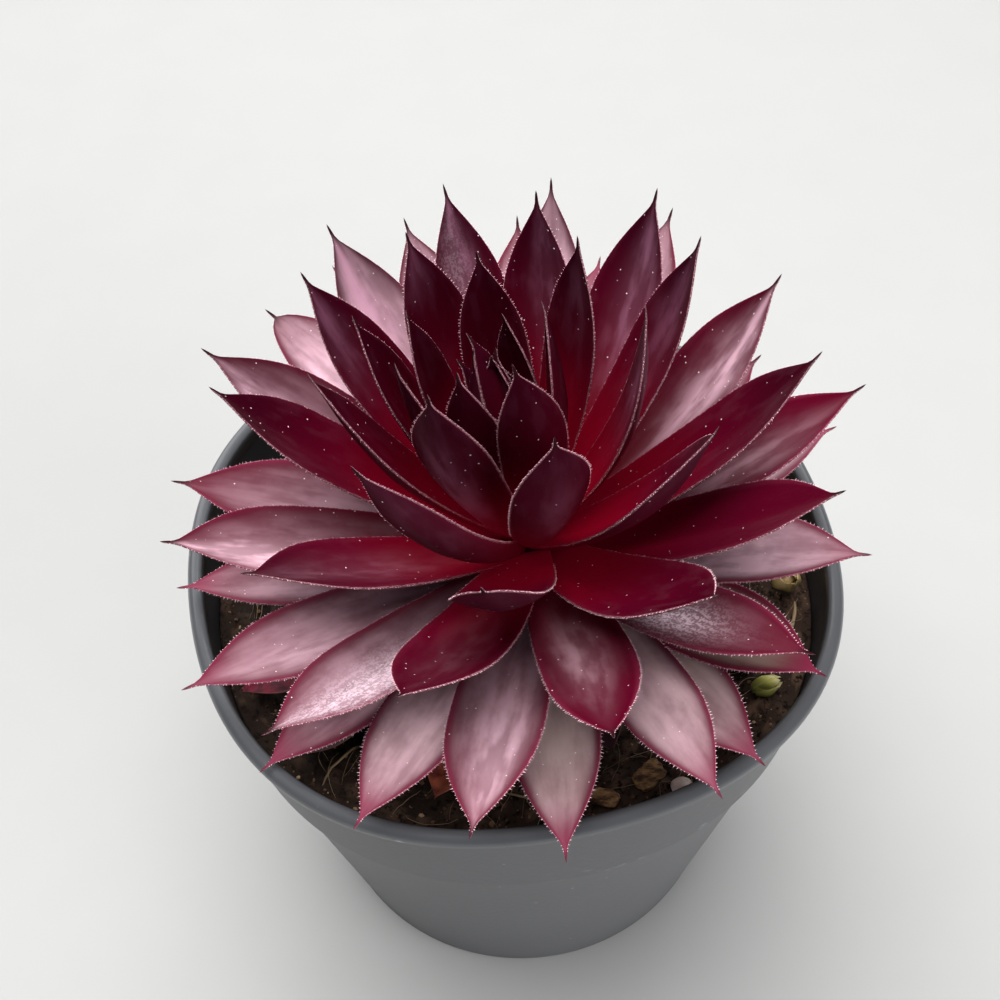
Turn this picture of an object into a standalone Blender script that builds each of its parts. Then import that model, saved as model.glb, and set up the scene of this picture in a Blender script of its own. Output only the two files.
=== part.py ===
"""Potted houseleek: a wine-red rosette of 72 leaves in a grey plastic nursery pot.

Units are metres, +Z is up, and the origin is the centre of the pot's foot.
Azimuths are degrees counter-clockwise from +X, seen from above.
"""
import math
import random

import bmesh
import bpy
import numpy as np
from mathutils import Matrix, Vector
from mathutils.bvhtree import BVHTree

MM = 0.001
GAP = 0.3 * MM
SEED = 7

# Pot, a 12 cm nursery pot
POT_HEIGHT = 89.5 * MM
RIM_RADIUS = 60.0 * MM
LIP_WIDTH = 3.0 * MM
LIP_DEPTH = 3.6 * MM
COLLAR_TOP_RADIUS = 58.2 * MM
COLLAR_RADIUS = 55.8 * MM
COLLAR_Z = 66.0 * MM
COLLAR_STEP = 1.3 * MM
BASE_RADIUS = 41.5 * MM
FOOT_ROUND = 1.6 * MM
CHANNEL_DEPTH = 1.0 * MM
CHANNEL_OUTER_RADIUS = 35.5 * MM
CHANNEL_INNER_RADIUS = 13.0 * MM
WALL = 1.1 * MM
FLOOR = 1.4 * MM
POT_SIDES = 48
RIM_SQUARENESS = 0.024
SQUARE_CORNER_TURN = -35.5
DRAIN_RADIUS = 3.2 * MM
DRAIN_RING_RADIUS = 24.5 * MM
DRAIN_COUNT = 8

# Soil
SOIL_Z = 78.0 * MM
SOIL_RINGS = (0.16, 0.32, 0.46, 0.58, 0.69, 0.79, 0.88, 0.95, 1.0)
SOIL_LUMPS = 46
SOIL_LUMP_HEIGHT = 2.6 * MM
SOIL_LUMP_WIDTH = 5.0 * MM

# Crown: the stem's axis leans, and the leaves' places are given in its own frame
CROWN = Vector((4.4, -5.9, 90.0)) * MM
LEAN_TO_X = -6.6
LEAN_TO_Y = 2.1
STEM_RADIUS = 6.0 * MM
STEM_DEPTH = 34.0 * MM
CORE_PROFILE = ((0.0, 24.0), (2.6, 21.0), (4.6, 14.0), (6.4, 5.0), (8.6, -2.0), (8.2, -6.0), (6.0, -10.0))

# Leaves, from the oldest and lowest (0) to the youngest (71)
LEAF_COUNT = 72
FIRST_LEAF_TURN = 305.0
DIVERGENCE = 137.53
LEAF_STATIONS = (0.0, 0.25, 0.46, 0.64, 0.79, 0.89, 0.955)
SCALE_STATIONS = (0.0, 0.4, 0.75)
WIDEST_AT = 0.6
FOOT_SHARE = 0.52
LIP_CLEARANCE = 0.5 * MM

# How leaves leave the spiral's rule: turn and rise in degrees, length and width as factors,
# bow and sway as shares of the length, fold and roll as the rule has them
DEPARTURES = {
    1: dict(length=0.95), 2: dict(length=1.01, rise=-1), 3: dict(length=0.75), 4: dict(length=0.9),
    5: dict(turn=-0.5, rise=-1, width=0.93, sway=0.01), 6: dict(length=0.92),
    7: dict(turn=-4.5, rise=1.3, width=0.93),
    8: dict(turn=-3.2, rise=-2, length=0.9, width=1.05, sway=0.022), 9: dict(length=0.95),
    10: dict(turn=2.5, length=0.985, width=0.96), 11: dict(rise=-6, length=0.91),
    12: dict(turn=9, length=0.85), 13: dict(turn=1, rise=-1, width=0.83, sway=0.024), 14: dict(turn=3),
    15: dict(turn=2, rise=1, sway=-0.015),
    16: dict(turn=-8, rise=2, length=0.92, width=0.94, sway=0.03),
    17: dict(turn=-3, rise=6, length=1.05), 18: dict(turn=1, rise=-1, length=1.02, width=0.95),
    19: dict(turn=-4, rise=-6, length=0.82),
    20: dict(turn=-5, rise=-1, length=0.96, width=1.08, sway=-0.04),
    21: dict(turn=1.5, rise=-1, length=0.94, width=0.82), 22: dict(turn=-4, rise=1),
    23: dict(turn=3, rise=-1, length=0.985, width=0.9, sway=-0.01),
    24: dict(turn=-2, rise=1, length=0.95),
    25: dict(turn=-5, rise=4, length=0.96, blunt=0.6, sway=-0.04),
    26: dict(turn=1, width=0.92, blunt=0.25, sway=0.02), 27: dict(turn=-1, rise=-1),
    28: dict(turn=1, rise=1, length=0.98, width=1.08, sway=-0.05),
    29: dict(turn=-1, rise=2, length=0.98, width=0.96, sway=0.022),
    30: dict(turn=-4, rise=-1, length=0.98), 31: dict(turn=5, width=0.98, blunt=0.1),
    32: dict(turn=-4, rise=2, length=0.95), 33: dict(turn=3, rise=8, width=1.08, sway=-0.04),
    34: dict(turn=0.6, rise=-1, length=1.03, blunt=0.15), 35: dict(turn=-2, length=0.98, width=0.88),
    36: dict(turn=6, rise=-1, bow=0.04), 37: dict(rise=-2), 38: dict(turn=-5, rise=2),
    39: dict(turn=-3, rise=-3, length=0.9, hook=0.04, blunt=0.85), 40: dict(rise=2),
    41: dict(length=1.02, width=1.05, sway=-0.03), 42: dict(length=1.015, bow=-0.007, fold=0.05),
    43: dict(rise=-3, width=0.92, sway=-0.01),
    44: dict(turn=2, rise=4, roll=34, bow=-0.035, length=1.05, width=0.55),
    45: dict(turn=4, length=1.03, width=0.95), 46: dict(turn=-3, rise=-1), 47: dict(rise=2),
    48: dict(turn=4), 49: dict(turn=-6),
    50: dict(turn=4.5, rise=1, length=1.03, width=0.85, bow=-0.036, fold=-0.1, roll=10),
    52: dict(turn=-10, rise=2, width=1.12, sway=-0.02), 53: dict(turn=2.5, length=1.02),
    54: dict(rise=-3), 55: dict(turn=-21, rise=1, sway=0.03), 56: dict(turn=4),
    57: dict(turn=-12, rise=-5), 59: dict(turn=21, rise=-6), 60: dict(turn=-28, rise=-7),
    61: dict(turn=-14, length=0.97), 62: dict(length=0.9), 63: dict(turn=9, rise=5, length=0.97),
    64: dict(length=0.9), 65: dict(length=0.9), 66: dict(turn=11, rise=-6, length=0.92),
    67: dict(length=0.86), 68: dict(turn=38, length=0.94), 69: dict(length=0.85), 70: dict(length=0.85),
    71: dict(length=0.85),
}
FACTORS = ("length", "width")

# Loose pieces on the soil: place of the middle in plan, and the piece's own sizes
CHIPS = {
    "bark_chip_1": dict(at=(21.4, -44.0), size=(6.4, 4.6, 3.2), turn=35, tilt=14),
    "bark_chip_2": dict(at=(13.6, -47.8), size=(5.6, 3.2, 2.2), turn=-20, tilt=8),
    "bark_chip_3": dict(at=(36.0, -34.5), size=(5.0, 3.4, 2.4), turn=70, tilt=-10),
}
PEBBLES = {"pebble": dict(at=(26.6, -45.6), size=(3.8, 3.0, 2.2), turn=25)}
BUDS = {
    "offset_bud_1": dict(at=(39.6, -21.6), length=6.2, width=3.4, turn=-35, rise=38),
    "offset_bud_2": dict(at=(43.0, -27.4), length=5.4, width=2.6, turn=5, rise=22),
    "offset_bud_3": dict(at=(50.2, -5.0), length=6.6, width=4.2, turn=-80, rise=52),
    "offset_bud_4": dict(at=(47.4, 20.6), length=7.0, width=4.2, turn=110, rise=48),
}
WITHERED = {
    "withered_leaf_1": dict(foot=(-31, -15), length=20, width=10, turn=207, rise=4, bow=0.06, fold=0.35),
    "withered_leaf_2": dict(foot=(-26.5, -24.5), length=16.5, width=10, turn=229, rise=5, bow=0.1, fold=0.2),
    "withered_leaf_3": dict(foot=(-16.5, -29.5), length=15.5, width=8, turn=226, rise=16, bow=0.08, fold=0.3),
    "withered_leaf_4": dict(foot=(-9, -35), length=12.5, width=7, turn=243, rise=8, bow=0.16, fold=0.55),
    "withered_leaf_5": dict(foot=(9, -18), length=22, width=9, turn=288, rise=2, bow=0.07, fold=0.15),
}
WITHERED_THICKNESS = 1.2 * MM
DROP_FROM = 20.0 * MM


def clear_scene():
    for thing in list(bpy.data.objects):
        bpy.data.objects.remove(thing, do_unlink=True)


def new_collection(name):
    collection = bpy.data.collections.new(name)
    bpy.context.scene.collection.children.link(collection)
    return collection


def material(name, colour, roughness, metallic=0.0):
    """A Principled finish of one colour."""
    finish = bpy.data.materials.new(name)
    finish.use_nodes = True
    shader = finish.node_tree.nodes["Principled BSDF"]
    shader.inputs["Base Color"].default_value = (*colour, 1.0)
    shader.inputs["Roughness"].default_value = roughness
    shader.inputs["Metallic"].default_value = metallic
    finish.diffuse_color = (*colour, 1.0)
    return finish


def mesh_object(name, mesh, collection, finish=None):
    thing = bpy.data.objects.new(name, mesh)
    collection.objects.link(thing)
    if finish:
        mesh.materials.clear()
        mesh.materials.append(finish)
    return thing


def applied(thing):
    """Replace an object's mesh by what its modifiers make of it."""
    depsgraph = bpy.context.evaluated_depsgraph_get()
    depsgraph.update()
    mesh = bpy.data.meshes.new_from_object(thing.evaluated_get(depsgraph))
    thing.modifiers.clear()
    thing.data = mesh
    return thing


def keep_outer_body(thing):
    """Keep the largest connected shell, which drops loose scraps and fills sealed hollows."""
    bm = bmesh.new()
    bm.from_mesh(thing.data)
    left = set(bm.verts)
    bodies = []
    while left:
        start = left.pop()
        body, front = {start}, [start]
        while front:
            vert = front.pop()
            for edge in vert.link_edges:
                other = edge.other_vert(vert)
                if other in left:
                    left.remove(other)
                    body.add(other)
                    front.append(other)
        bodies.append(body)
    bodies.sort(key=len)
    scraps = [vert for body in bodies[:-1] for vert in body]
    bmesh.ops.delete(bm, geom=scraps, context="VERTS")
    bm.to_mesh(thing.data)
    bm.free()


def joined(thing, pieces, solver="EXACT"):
    """Fuse a collection of closed pieces into one object by one Boolean union."""
    union = thing.modifiers.new("Union", "BOOLEAN")
    union.operation = "UNION"
    union.operand_type = "COLLECTION"
    union.collection = pieces
    union.solver = solver
    applied(thing)
    for piece in list(pieces.objects):
        bpy.data.objects.remove(piece, do_unlink=True)
    bpy.data.collections.remove(pieces)
    keep_outer_body(thing)


def cut(thing, cutter):
    hole = thing.modifiers.new("Cut " + cutter.name, "BOOLEAN")
    hole.operation = "DIFFERENCE"
    hole.object = cutter
    hole.solver = "EXACT"


def cylinder_cutter(name, radius, bottom, top, sides, collection):
    """A closed cylinder along its own Z axis, drawn as wire and left out of renders."""
    bm = bmesh.new()
    depth = top - bottom
    bmesh.ops.create_cone(bm, cap_ends=True, segments=sides, radius1=radius, radius2=radius, depth=depth)
    bmesh.ops.translate(bm, verts=bm.verts, vec=(0, 0, (top + bottom) / 2))
    mesh = bpy.data.meshes.new(name)
    bm.to_mesh(mesh)
    bm.free()
    cutter = mesh_object(name, mesh, collection)
    cutter.display_type = "WIRE"
    cutter.hide_render = True
    return cutter


def square_up(mesh):
    """Press a round form slightly square towards its rim, as the thin pot is in the hand."""
    for vert in mesh.vertices:
        turn = math.atan2(vert.co.y, vert.co.x) - math.radians(SQUARE_CORNER_TURN)
        height = max(vert.co.z / POT_HEIGHT, 0.0)
        share = 1.0 + RIM_SQUARENESS * height ** 3 * math.cos(4 * turn)
        vert.co.x *= share
        vert.co.y *= share


def arc(centre, radius, first, last, steps):
    """Points on an arc in the profile's plane, angles in degrees from +X."""
    turns = [math.radians(first + (last - first) * k / steps) for k in range(steps + 1)]
    return [(centre[0] + radius * math.cos(t), centre[1] + radius * math.sin(t)) for t in turns]


def outer_wall():
    """Outer side of the pot under its lip, from the top down to the foot's round corner."""
    foot = (BASE_RADIUS - FOOT_ROUND, FOOT_ROUND)
    return [
        (COLLAR_TOP_RADIUS, POT_HEIGHT - LIP_DEPTH),
        (COLLAR_RADIUS, COLLAR_Z),
        (COLLAR_RADIUS - COLLAR_STEP, COLLAR_Z - COLLAR_STEP),
        *arc(foot, FOOT_ROUND, 10, -90, 3),
    ]


def inner_wall():
    """Inner side of the pot, from its floor up to the lip: the outer side moved in by the wall."""
    step = (COLLAR_RADIUS - COLLAR_STEP - WALL, COLLAR_Z)
    above = (COLLAR_RADIUS - WALL, COLLAR_Z + COLLAR_STEP)
    floor_z = CHANNEL_DEPTH + FLOOR
    return [
        (BASE_RADIUS - WALL - 2 * FOOT_ROUND, floor_z),
        (BASE_RADIUS - WALL, floor_z + 2 * FOOT_ROUND),
        step,
        above,
        (COLLAR_TOP_RADIUS - WALL, POT_HEIGHT - LIP_DEPTH),
    ]


def pot_profile():
    """Whole section of the pot: up the inside from the axis, over the lip and down the outside."""
    bead = LIP_WIDTH / 2
    middle = (RIM_RADIUS - bead, POT_HEIGHT - bead)
    over_lip = arc(middle, bead, 180, -30, 7)
    under_lip = (RIM_RADIUS - 0.3 * LIP_WIDTH, POT_HEIGHT - LIP_DEPTH)
    return [
        (0.0, CHANNEL_DEPTH + FLOOR),
        *inner_wall(),
        *over_lip,
        under_lip,
        *outer_wall(),
        (CHANNEL_OUTER_RADIUS, 0.0),
        (CHANNEL_OUTER_RADIUS - CHANNEL_DEPTH, CHANNEL_DEPTH),
        (CHANNEL_INNER_RADIUS + CHANNEL_DEPTH, CHANNEL_DEPTH),
        (CHANNEL_INNER_RADIUS, 0.0),
        (0.0, 0.0),
    ]


def turned(name, profile, sides, collection, finish):
    """A closed turned shape from its section, by the Screw modifier."""
    mesh = bpy.data.meshes.new(name)
    points = [(x, 0.0, z) for x, z in profile]
    mesh.from_pydata(points, [(k, k + 1) for k in range(len(points) - 1)], [])
    thing = mesh_object(name, mesh, collection, finish)
    screw = thing.modifiers.new("Turn", "SCREW")
    screw.steps = sides
    screw.render_steps = sides
    screw.use_merge_vertices = True
    screw.merge_threshold = 0.00001
    return applied(thing)


def make_pot(collection, cutters):
    finish = material("grey plastic", (0.22, 0.23, 0.24), 0.42)
    pot = turned("pot", pot_profile(), POT_SIDES, collection, finish)
    square_up(pot.data)
    for k in range(DRAIN_COUNT):
        turn = 2 * math.pi * (k + 0.5) / DRAIN_COUNT
        drain = cylinder_cutter(f"drain_{k}", DRAIN_RADIUS, -FLOOR, 3 * FLOOR, 12, cutters)
        drain.location = (DRAIN_RING_RADIUS * math.cos(turn), DRAIN_RING_RADIUS * math.sin(turn), 0)
        cut(pot, drain)
    bpy.context.view_layer.update()
    applied(pot)
    pot.data.shade_smooth()
    pot.data.set_sharp_from_angle(angle=math.radians(40))
    return pot


def crown_matrix():
    """Place of the crown's own frame: its Z axis is the stem, leaning a little."""
    to_x = Matrix.Rotation(math.radians(LEAN_TO_X), 4, "Y")
    to_y = Matrix.Rotation(math.radians(-LEAN_TO_Y), 4, "X")
    return Matrix.Translation(CROWN) @ to_y @ to_x


def soil_height(x, y, lumps):
    """Height of the peat: a low dome, two slow waves and seeded lumps."""
    swell = 0.7 * MM * math.sin(x / (9 * MM) + 1.0) * math.cos(y / (11 * MM))
    ripple = 0.4 * MM * math.sin((x - y) / (5 * MM))
    height = SOIL_Z + swell + ripple
    for lump_x, lump_y, size, width in lumps:
        apart = ((x - lump_x) ** 2 + (y - lump_y) ** 2) / width ** 2
        height += size * math.exp(-apart)
    return height


def soil_side(rim_z):
    """Side of the soil from its upper edge down: the pot's inner wall less the gap."""
    wall = inner_wall()
    low, high = wall[3], wall[4]
    share = (rim_z - low[1]) / (high[1] - low[1])
    top = (low[0] + share * (high[0] - low[0]), rim_z)
    bottom_z = wall[0][1] + GAP
    side = [top, wall[3], wall[2], wall[1], (wall[0][0], bottom_z)]
    return [(radius - GAP, z) for radius, z in side]


def make_soil(collection, cutters):
    """Peat as rings of points: a lumpy top, the pot's inner side and a flat bottom."""
    draw = random.Random(SEED)
    lumps = []
    for _ in range(SOIL_LUMPS):
        reach, turn = 52 * MM * math.sqrt(draw.random()), draw.uniform(0, 2 * math.pi)
        size = SOIL_LUMP_HEIGHT * draw.uniform(-0.5, 1.0)
        width = SOIL_LUMP_WIDTH * draw.uniform(0.7, 1.3)
        lumps.append((reach * math.cos(turn), reach * math.sin(turn), size, width))
    side = soil_side(SOIL_Z - 1 * MM)
    rings = []
    for share in SOIL_RINGS[:-1]:
        rings.append([(share * side[0][0], None)] * POT_SIDES)
    for point in side:
        rings.append([point] * POT_SIDES)
    bm = bmesh.new()
    grid = []
    for ring in rings:
        row = []
        for k, (radius, z) in enumerate(ring):
            turn = 2 * math.pi * k / POT_SIDES
            x, y = radius * math.cos(turn), radius * math.sin(turn)
            row.append(bm.verts.new((x, y, soil_height(x, y, lumps) if z is None else z)))
        grid.append(row)
    top = bm.verts.new((0, 0, SOIL_Z))
    bottom = bm.verts.new((0, 0, side[-1][1]))
    for k in range(POT_SIDES):
        after = (k + 1) % POT_SIDES
        bm.faces.new((top, grid[0][k], grid[0][after]))
        bm.faces.new((bottom, grid[-1][after], grid[-1][k]))
        for inner, outer in zip(grid, grid[1:]):
            bm.faces.new((inner[k], outer[k], outer[after]))
            bm.faces.new((inner[k], outer[after], inner[after]))
    mesh = bpy.data.meshes.new("soil")
    bm.to_mesh(mesh)
    bm.free()
    square_up(mesh)
    soil = mesh_object("soil", mesh, collection, material("peat", (0.035, 0.022, 0.016), 0.95))
    hole = cylinder_cutter("stem_hole", STEM_RADIUS + GAP, -STEM_DEPTH - GAP, 10 * MM, 24, cutters)
    hole.matrix_world = crown_matrix()
    cut(soil, hole)
    bpy.context.view_layer.update()
    return applied(soil)


def leaf_settings(number):
    """One leaf's sizes from its age, 0 for the oldest and 1 for the youngest, in mm and degrees."""
    age = number / (LEAF_COUNT - 1)
    leaf = dict(
        turn=FIRST_LEAF_TURN + DIVERGENCE * number,
        rise=6.7 + 102.5 * age ** 1.61,
        length=55.2 + 54.7 * age - 78.2 * age ** 2,
        width=15.0 + 9.0 * age - 18.0 * age ** 2,
        thick=3.4 - 1.5 * age,
        out=4.0 - 3.0 * age,
        up=-2.0 + 20.0 * age,
        bow=max(0.06 - 0.27 * age, -0.06),
        fold=0.10 + 0.12 * age,
        sway=0.0, roll=0.0, hook=0.0, blunt=0.0,
    )
    for name, change in DEPARTURES.get(number, {}).items():
        leaf[name] = leaf[name] * change if name in FACTORS else leaf[name] + change
    return leaf


def half_width(along, blunt):
    """Share of the half width: a broad foot, widest past the middle, then a drawn-out point."""
    growing = FOOT_SHARE + (1 - FOOT_SHARE) * math.sin(math.pi / 2 * min(along / WIDEST_AT, 1)) ** 1.3
    past = max((along - WIDEST_AT) / (1 - WIDEST_AT), 0)
    pointed = (1 - past ** 2.7) * (1 - 0.3 * past ** 3)
    rounded = math.sqrt(max(1 - past ** 3.2, 0))
    return growing if along < WIDEST_AT else pointed + blunt * (rounded - pointed)


def leaf_frame(leaf):
    """Directions along, across and up from a leaf, in its plant's frame."""
    turn, rise, roll = (math.radians(leaf[name]) for name in ("turn", "rise", "roll"))
    outward = Vector((math.cos(turn), math.sin(turn), 0))
    side = Vector((-math.sin(turn), math.cos(turn), 0))
    along = math.cos(rise) * outward + math.sin(rise) * Vector((0, 0, 1))
    upper = math.cos(rise) * Vector((0, 0, 1)) - math.sin(rise) * outward
    rolled_side = side * math.cos(roll) + upper * math.sin(roll)
    rolled_upper = upper * math.cos(roll) - side * math.sin(roll)
    return outward, along, rolled_side, rolled_upper


def leaf_middle(leaf, share, foot):
    """Point on a leaf's middle line: its chord, bowed up, swayed aside and hooked at the tip."""
    outward, along, side, upper = leaf_frame(leaf)
    arch = 4 * (share - share ** 2)
    tip = max((share - 0.7) / 0.3, 0) ** 2
    lift = leaf["bow"] * arch + leaf["hook"] * tip
    return foot + leaf["length"] * (along * share + upper * lift + side * leaf["sway"] * arch)


def leaf_section(leaf, share, foot):
    """Six points round a leaf: four across its channelled upper face and two under its keel."""
    _, _, side, upper = leaf_frame(leaf)
    middle = leaf_middle(leaf, share, foot)
    half = leaf["width"] / 2 * half_width(share, leaf["blunt"])
    deep = leaf["thick"] * (1 - 0.3 * share) * min(1, 2.2 * (1 - share))
    points = []
    for across, under in ((-1, 0), (-0.45, 0), (0.45, 0), (1, 0), (0.5, 0.85), (-0.5, 0.85)):
        lift = leaf["fold"] * half * abs(across) ** 1.6 - deep * under
        points.append(middle + side * half * across + upper * lift)
    return points


def leaf_mesh(name, leaf, foot, stations=LEAF_STATIONS):
    """Loft of a leaf through its sections to its point, cut into triangles alike on both faces."""
    bm = bmesh.new()
    rings = [[bm.verts.new(point * MM) for point in leaf_section(leaf, share, foot)] for share in stations]
    tip = bm.verts.new(leaf_middle(leaf, 1.0, foot) * MM)
    count = len(rings[0])
    for inner, outer in zip(rings, rings[1:]):
        for k in range(count):
            after = (k + 1) % count
            if k < 3:
                bm.faces.new((inner[k], inner[after], outer[after]))
                bm.faces.new((inner[k], outer[after], outer[k]))
            else:
                bm.faces.new((inner[k], inner[after], outer[k]))
                bm.faces.new((inner[after], outer[after], outer[k]))
    for k in range(count):
        bm.faces.new((rings[-1][k], rings[-1][(k + 1) % count], tip))
    foot_ring = rings[0]
    for a, b, c in ((0, 5, 1), (5, 4, 1), (4, 2, 1), (4, 3, 2)):
        bm.faces.new((foot_ring[a], foot_ring[b], foot_ring[c]))
    bmesh.ops.recalc_face_normals(bm, faces=bm.faces)
    mesh = bpy.data.meshes.new(name)
    bm.to_mesh(mesh)
    bm.free()
    return mesh


def crown_foot(leaf):
    outward = leaf_frame(leaf)[0]
    return outward * leaf["out"] + Vector((0, 0, leaf["up"]))


def clears_lip(leaf, place):
    """Whether a leaf's underside passes over the pot's lip with room to spare."""
    foot = crown_foot(leaf)
    for step in range(41):
        for point in leaf_section(leaf, 0.4 + 0.6 * step / 40, foot):
            spot = place @ (point * MM)
            reach = math.hypot(spot.x, spot.y)
            over_lip = RIM_RADIUS * 0.92 < reach < RIM_RADIUS * 1.04
            if over_lip and spot.z < POT_HEIGHT + LIP_CLEARANCE:
                return False
    return True


def make_rosette(collection):
    """Stem, core and all leaves fused into one grown body."""
    finish = material("wine red leaf", (0.19, 0.012, 0.03), 0.38)
    place = crown_matrix()
    profile = [(x * MM, z * MM) for x, z in CORE_PROFILE] + [(STEM_RADIUS, -STEM_DEPTH), (0.0, -STEM_DEPTH)]
    rosette = turned("rosette", profile, 16, collection, finish)
    rosette.data.transform(place)
    leaves = new_collection("leaves")
    for number in range(LEAF_COUNT):
        leaf = leaf_settings(number)
        while not clears_lip(leaf, place):
            leaf["rise"] += 0.5
        mesh = leaf_mesh(f"leaf_{number}", leaf, crown_foot(leaf))
        mesh.transform(place)
        mesh_object(mesh.name, mesh, leaves)
    joined(rosette, leaves)
    return rosette


def ray_tree(mesh):
    return BVHTree.FromPolygons([v.co for v in mesh.vertices], [p.vertices for p in mesh.polygons])


def dropped(thing, soil, gap=GAP):
    """Let a piece down over the soil until its closest point is the gap away."""
    ground = ray_tree(soil.data)
    piece = ray_tree(thing.data)
    room = []
    for vert in thing.data.vertices:
        hit = ground.ray_cast(vert.co, Vector((0, 0, -1)))
        if hit[0]:
            room.append(hit[3])
    for vert in soil.data.vertices:
        hit = piece.ray_cast(vert.co, Vector((0, 0, 1)))
        if hit[0]:
            room.append(hit[3])
    thing.data.transform(Matrix.Translation((0, 0, gap - min(room))))
    return thing


def lump_mesh(name, spec, subdivisions, roughness, draw):
    """A chip or pebble: an ico sphere stretched to size, its points shifted a little."""
    bm = bmesh.new()
    bmesh.ops.create_icosphere(bm, subdivisions=subdivisions, radius=0.5)
    for vert in bm.verts:
        vert.co *= 1 + roughness * draw.uniform(-1, 1)
    size = Matrix.Diagonal((*(Vector(spec["size"]) * MM), 1))
    turn = Matrix.Rotation(math.radians(spec["turn"]), 4, "Z")
    tilt = Matrix.Rotation(math.radians(spec.get("tilt", 0)), 4, "X")
    place = Matrix.Translation((spec["at"][0] * MM, spec["at"][1] * MM, SOIL_Z + DROP_FROM))
    bm.transform(place @ turn @ tilt @ size)
    mesh = bpy.data.meshes.new(name)
    bm.to_mesh(mesh)
    bm.free()
    return mesh


def make_loose_lumps(collection, soil):
    draw = random.Random(SEED + 1)
    bark = material("bark", (0.13, 0.075, 0.04), 0.85)
    stone = material("pale stone", (0.55, 0.47, 0.36), 0.7)
    for name, spec in CHIPS.items():
        dropped(mesh_object(name, lump_mesh(name, spec, 2, 0.16, draw), collection, bark), soil)
    for name, spec in PEBBLES.items():
        dropped(mesh_object(name, lump_mesh(name, spec, 2, 0.06, draw), collection, stone), soil)


def make_buds(collection, soil):
    """Young offsets: an egg-shaped heart with four cupped scales fused round it."""
    finish = material("yellow-green bud", (0.42, 0.4, 0.13), 0.5)
    for name, spec in BUDS.items():
        length, width = spec["length"], spec["width"]
        bm = bmesh.new()
        bmesh.ops.create_uvsphere(bm, u_segments=8, v_segments=5, radius=0.5)
        bm.transform(Matrix.Diagonal((width * MM, width * MM, 0.8 * length * MM, 1)))
        mesh = bpy.data.meshes.new(name)
        bm.to_mesh(mesh)
        bm.free()
        bud = mesh_object(name, mesh, collection, finish)
        scales = new_collection(name + "_scales")
        for number in range(4):
            scale = dict(
                turn=17 + DIVERGENCE * number, rise=84.0,
                length=0.92 * length, width=0.82 * width, thick=0.3 * width,
                bow=-0.16, fold=0.35, sway=0.0, roll=0.0, hook=0.0, blunt=0.2,
            )
            outward = leaf_frame(scale)[0]
            foot = outward * 0.16 * width + Vector((0, 0, (-0.44 + 0.05 * number) * length))
            label = f"{name}_scale_{number}"
            mesh_object(label, leaf_mesh(label, scale, foot, SCALE_STATIONS), scales)
        joined(bud, scales)
        tip_down = Matrix.Rotation(math.radians(90 - spec["rise"]), 4, "Y")
        turn = Matrix.Rotation(math.radians(spec["turn"]), 4, "Z")
        place = Matrix.Translation((spec["at"][0] * MM, spec["at"][1] * MM, SOIL_Z + DROP_FROM))
        bud.data.transform(place @ turn @ tip_down)
        dropped(bud, soil)


def make_withered_leaves(collection, soil):
    """Old leaves that lie on the peat under the rosette."""
    finish = material("withered leaf", (0.16, 0.03, 0.035), 0.6)
    for name, spec in WITHERED.items():
        leaf = dict(thick=WITHERED_THICKNESS / MM, sway=0.0, roll=0.0, hook=0.0, blunt=0.0)
        leaf.update({key: spec[key] for key in ("length", "width", "turn", "rise", "bow", "fold")})
        foot = Vector((*spec["foot"], (SOIL_Z + DROP_FROM) / MM))
        dropped(mesh_object(name, leaf_mesh(name, leaf, foot), collection, finish), soil)


def main():
    clear_scene()
    parts = new_collection("potted_houseleek")
    cutters = new_collection("cutters")
    make_pot(parts, cutters)
    soil = make_soil(parts, cutters)
    make_rosette(parts)
    make_loose_lumps(parts, soil)
    make_buds(parts, soil)
    make_withered_leaves(parts, soil)


main()
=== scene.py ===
"""Looks of the potted houseleek: leaves with their fringes, peat, pot, soft studio light and camera.

Metres, +Z up, origin at the centre of the pot's foot. Leaf sizes are in millimetres until they are placed.
Azimuths are degrees counter-clockwise from +X, seen from above.
"""
import functools
import math
import random

import bmesh
import bpy
import numpy as np
from mathutils import Matrix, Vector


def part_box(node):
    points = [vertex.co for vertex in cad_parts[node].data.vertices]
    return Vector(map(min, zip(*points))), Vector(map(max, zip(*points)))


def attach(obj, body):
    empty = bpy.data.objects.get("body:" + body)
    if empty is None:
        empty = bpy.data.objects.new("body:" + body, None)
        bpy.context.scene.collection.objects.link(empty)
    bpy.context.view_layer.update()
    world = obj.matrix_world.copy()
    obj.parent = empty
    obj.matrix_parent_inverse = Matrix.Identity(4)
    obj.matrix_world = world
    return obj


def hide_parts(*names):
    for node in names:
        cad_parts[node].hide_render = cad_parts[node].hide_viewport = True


MM = 0.001
SEED = 11
RIPPLE_OCTAVES = 3
RIPPLE_WAVES = 9

# Pot, as in the part's own source
POT_HEIGHT = 89.5
RIM_RADIUS = 60.0
LIP_WIDTH = 3.0
LIP_DEPTH = 3.6
COLLAR_TOP_RADIUS = 58.2
COLLAR_RADIUS = 55.8
COLLAR_Z = 66.0
COLLAR_STEP = 1.3
BASE_RADIUS = 41.5
FOOT_ROUND = 1.6
CHANNEL_DEPTH = 1.0
CHANNEL_OUTER_RADIUS = 35.5
CHANNEL_INNER_RADIUS = 13.0
WALL = 1.1
FLOOR = 1.4
RIM_SQUARENESS = 0.024
SQUARE_CORNER_TURN = -35.5
DRAIN_RADIUS = 3.2
DRAIN_RING_RADIUS = 24.5
DRAIN_COUNT = 8
POT_SIDES = 192
POT_FIT = 0.998
GAP = 0.3

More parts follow.
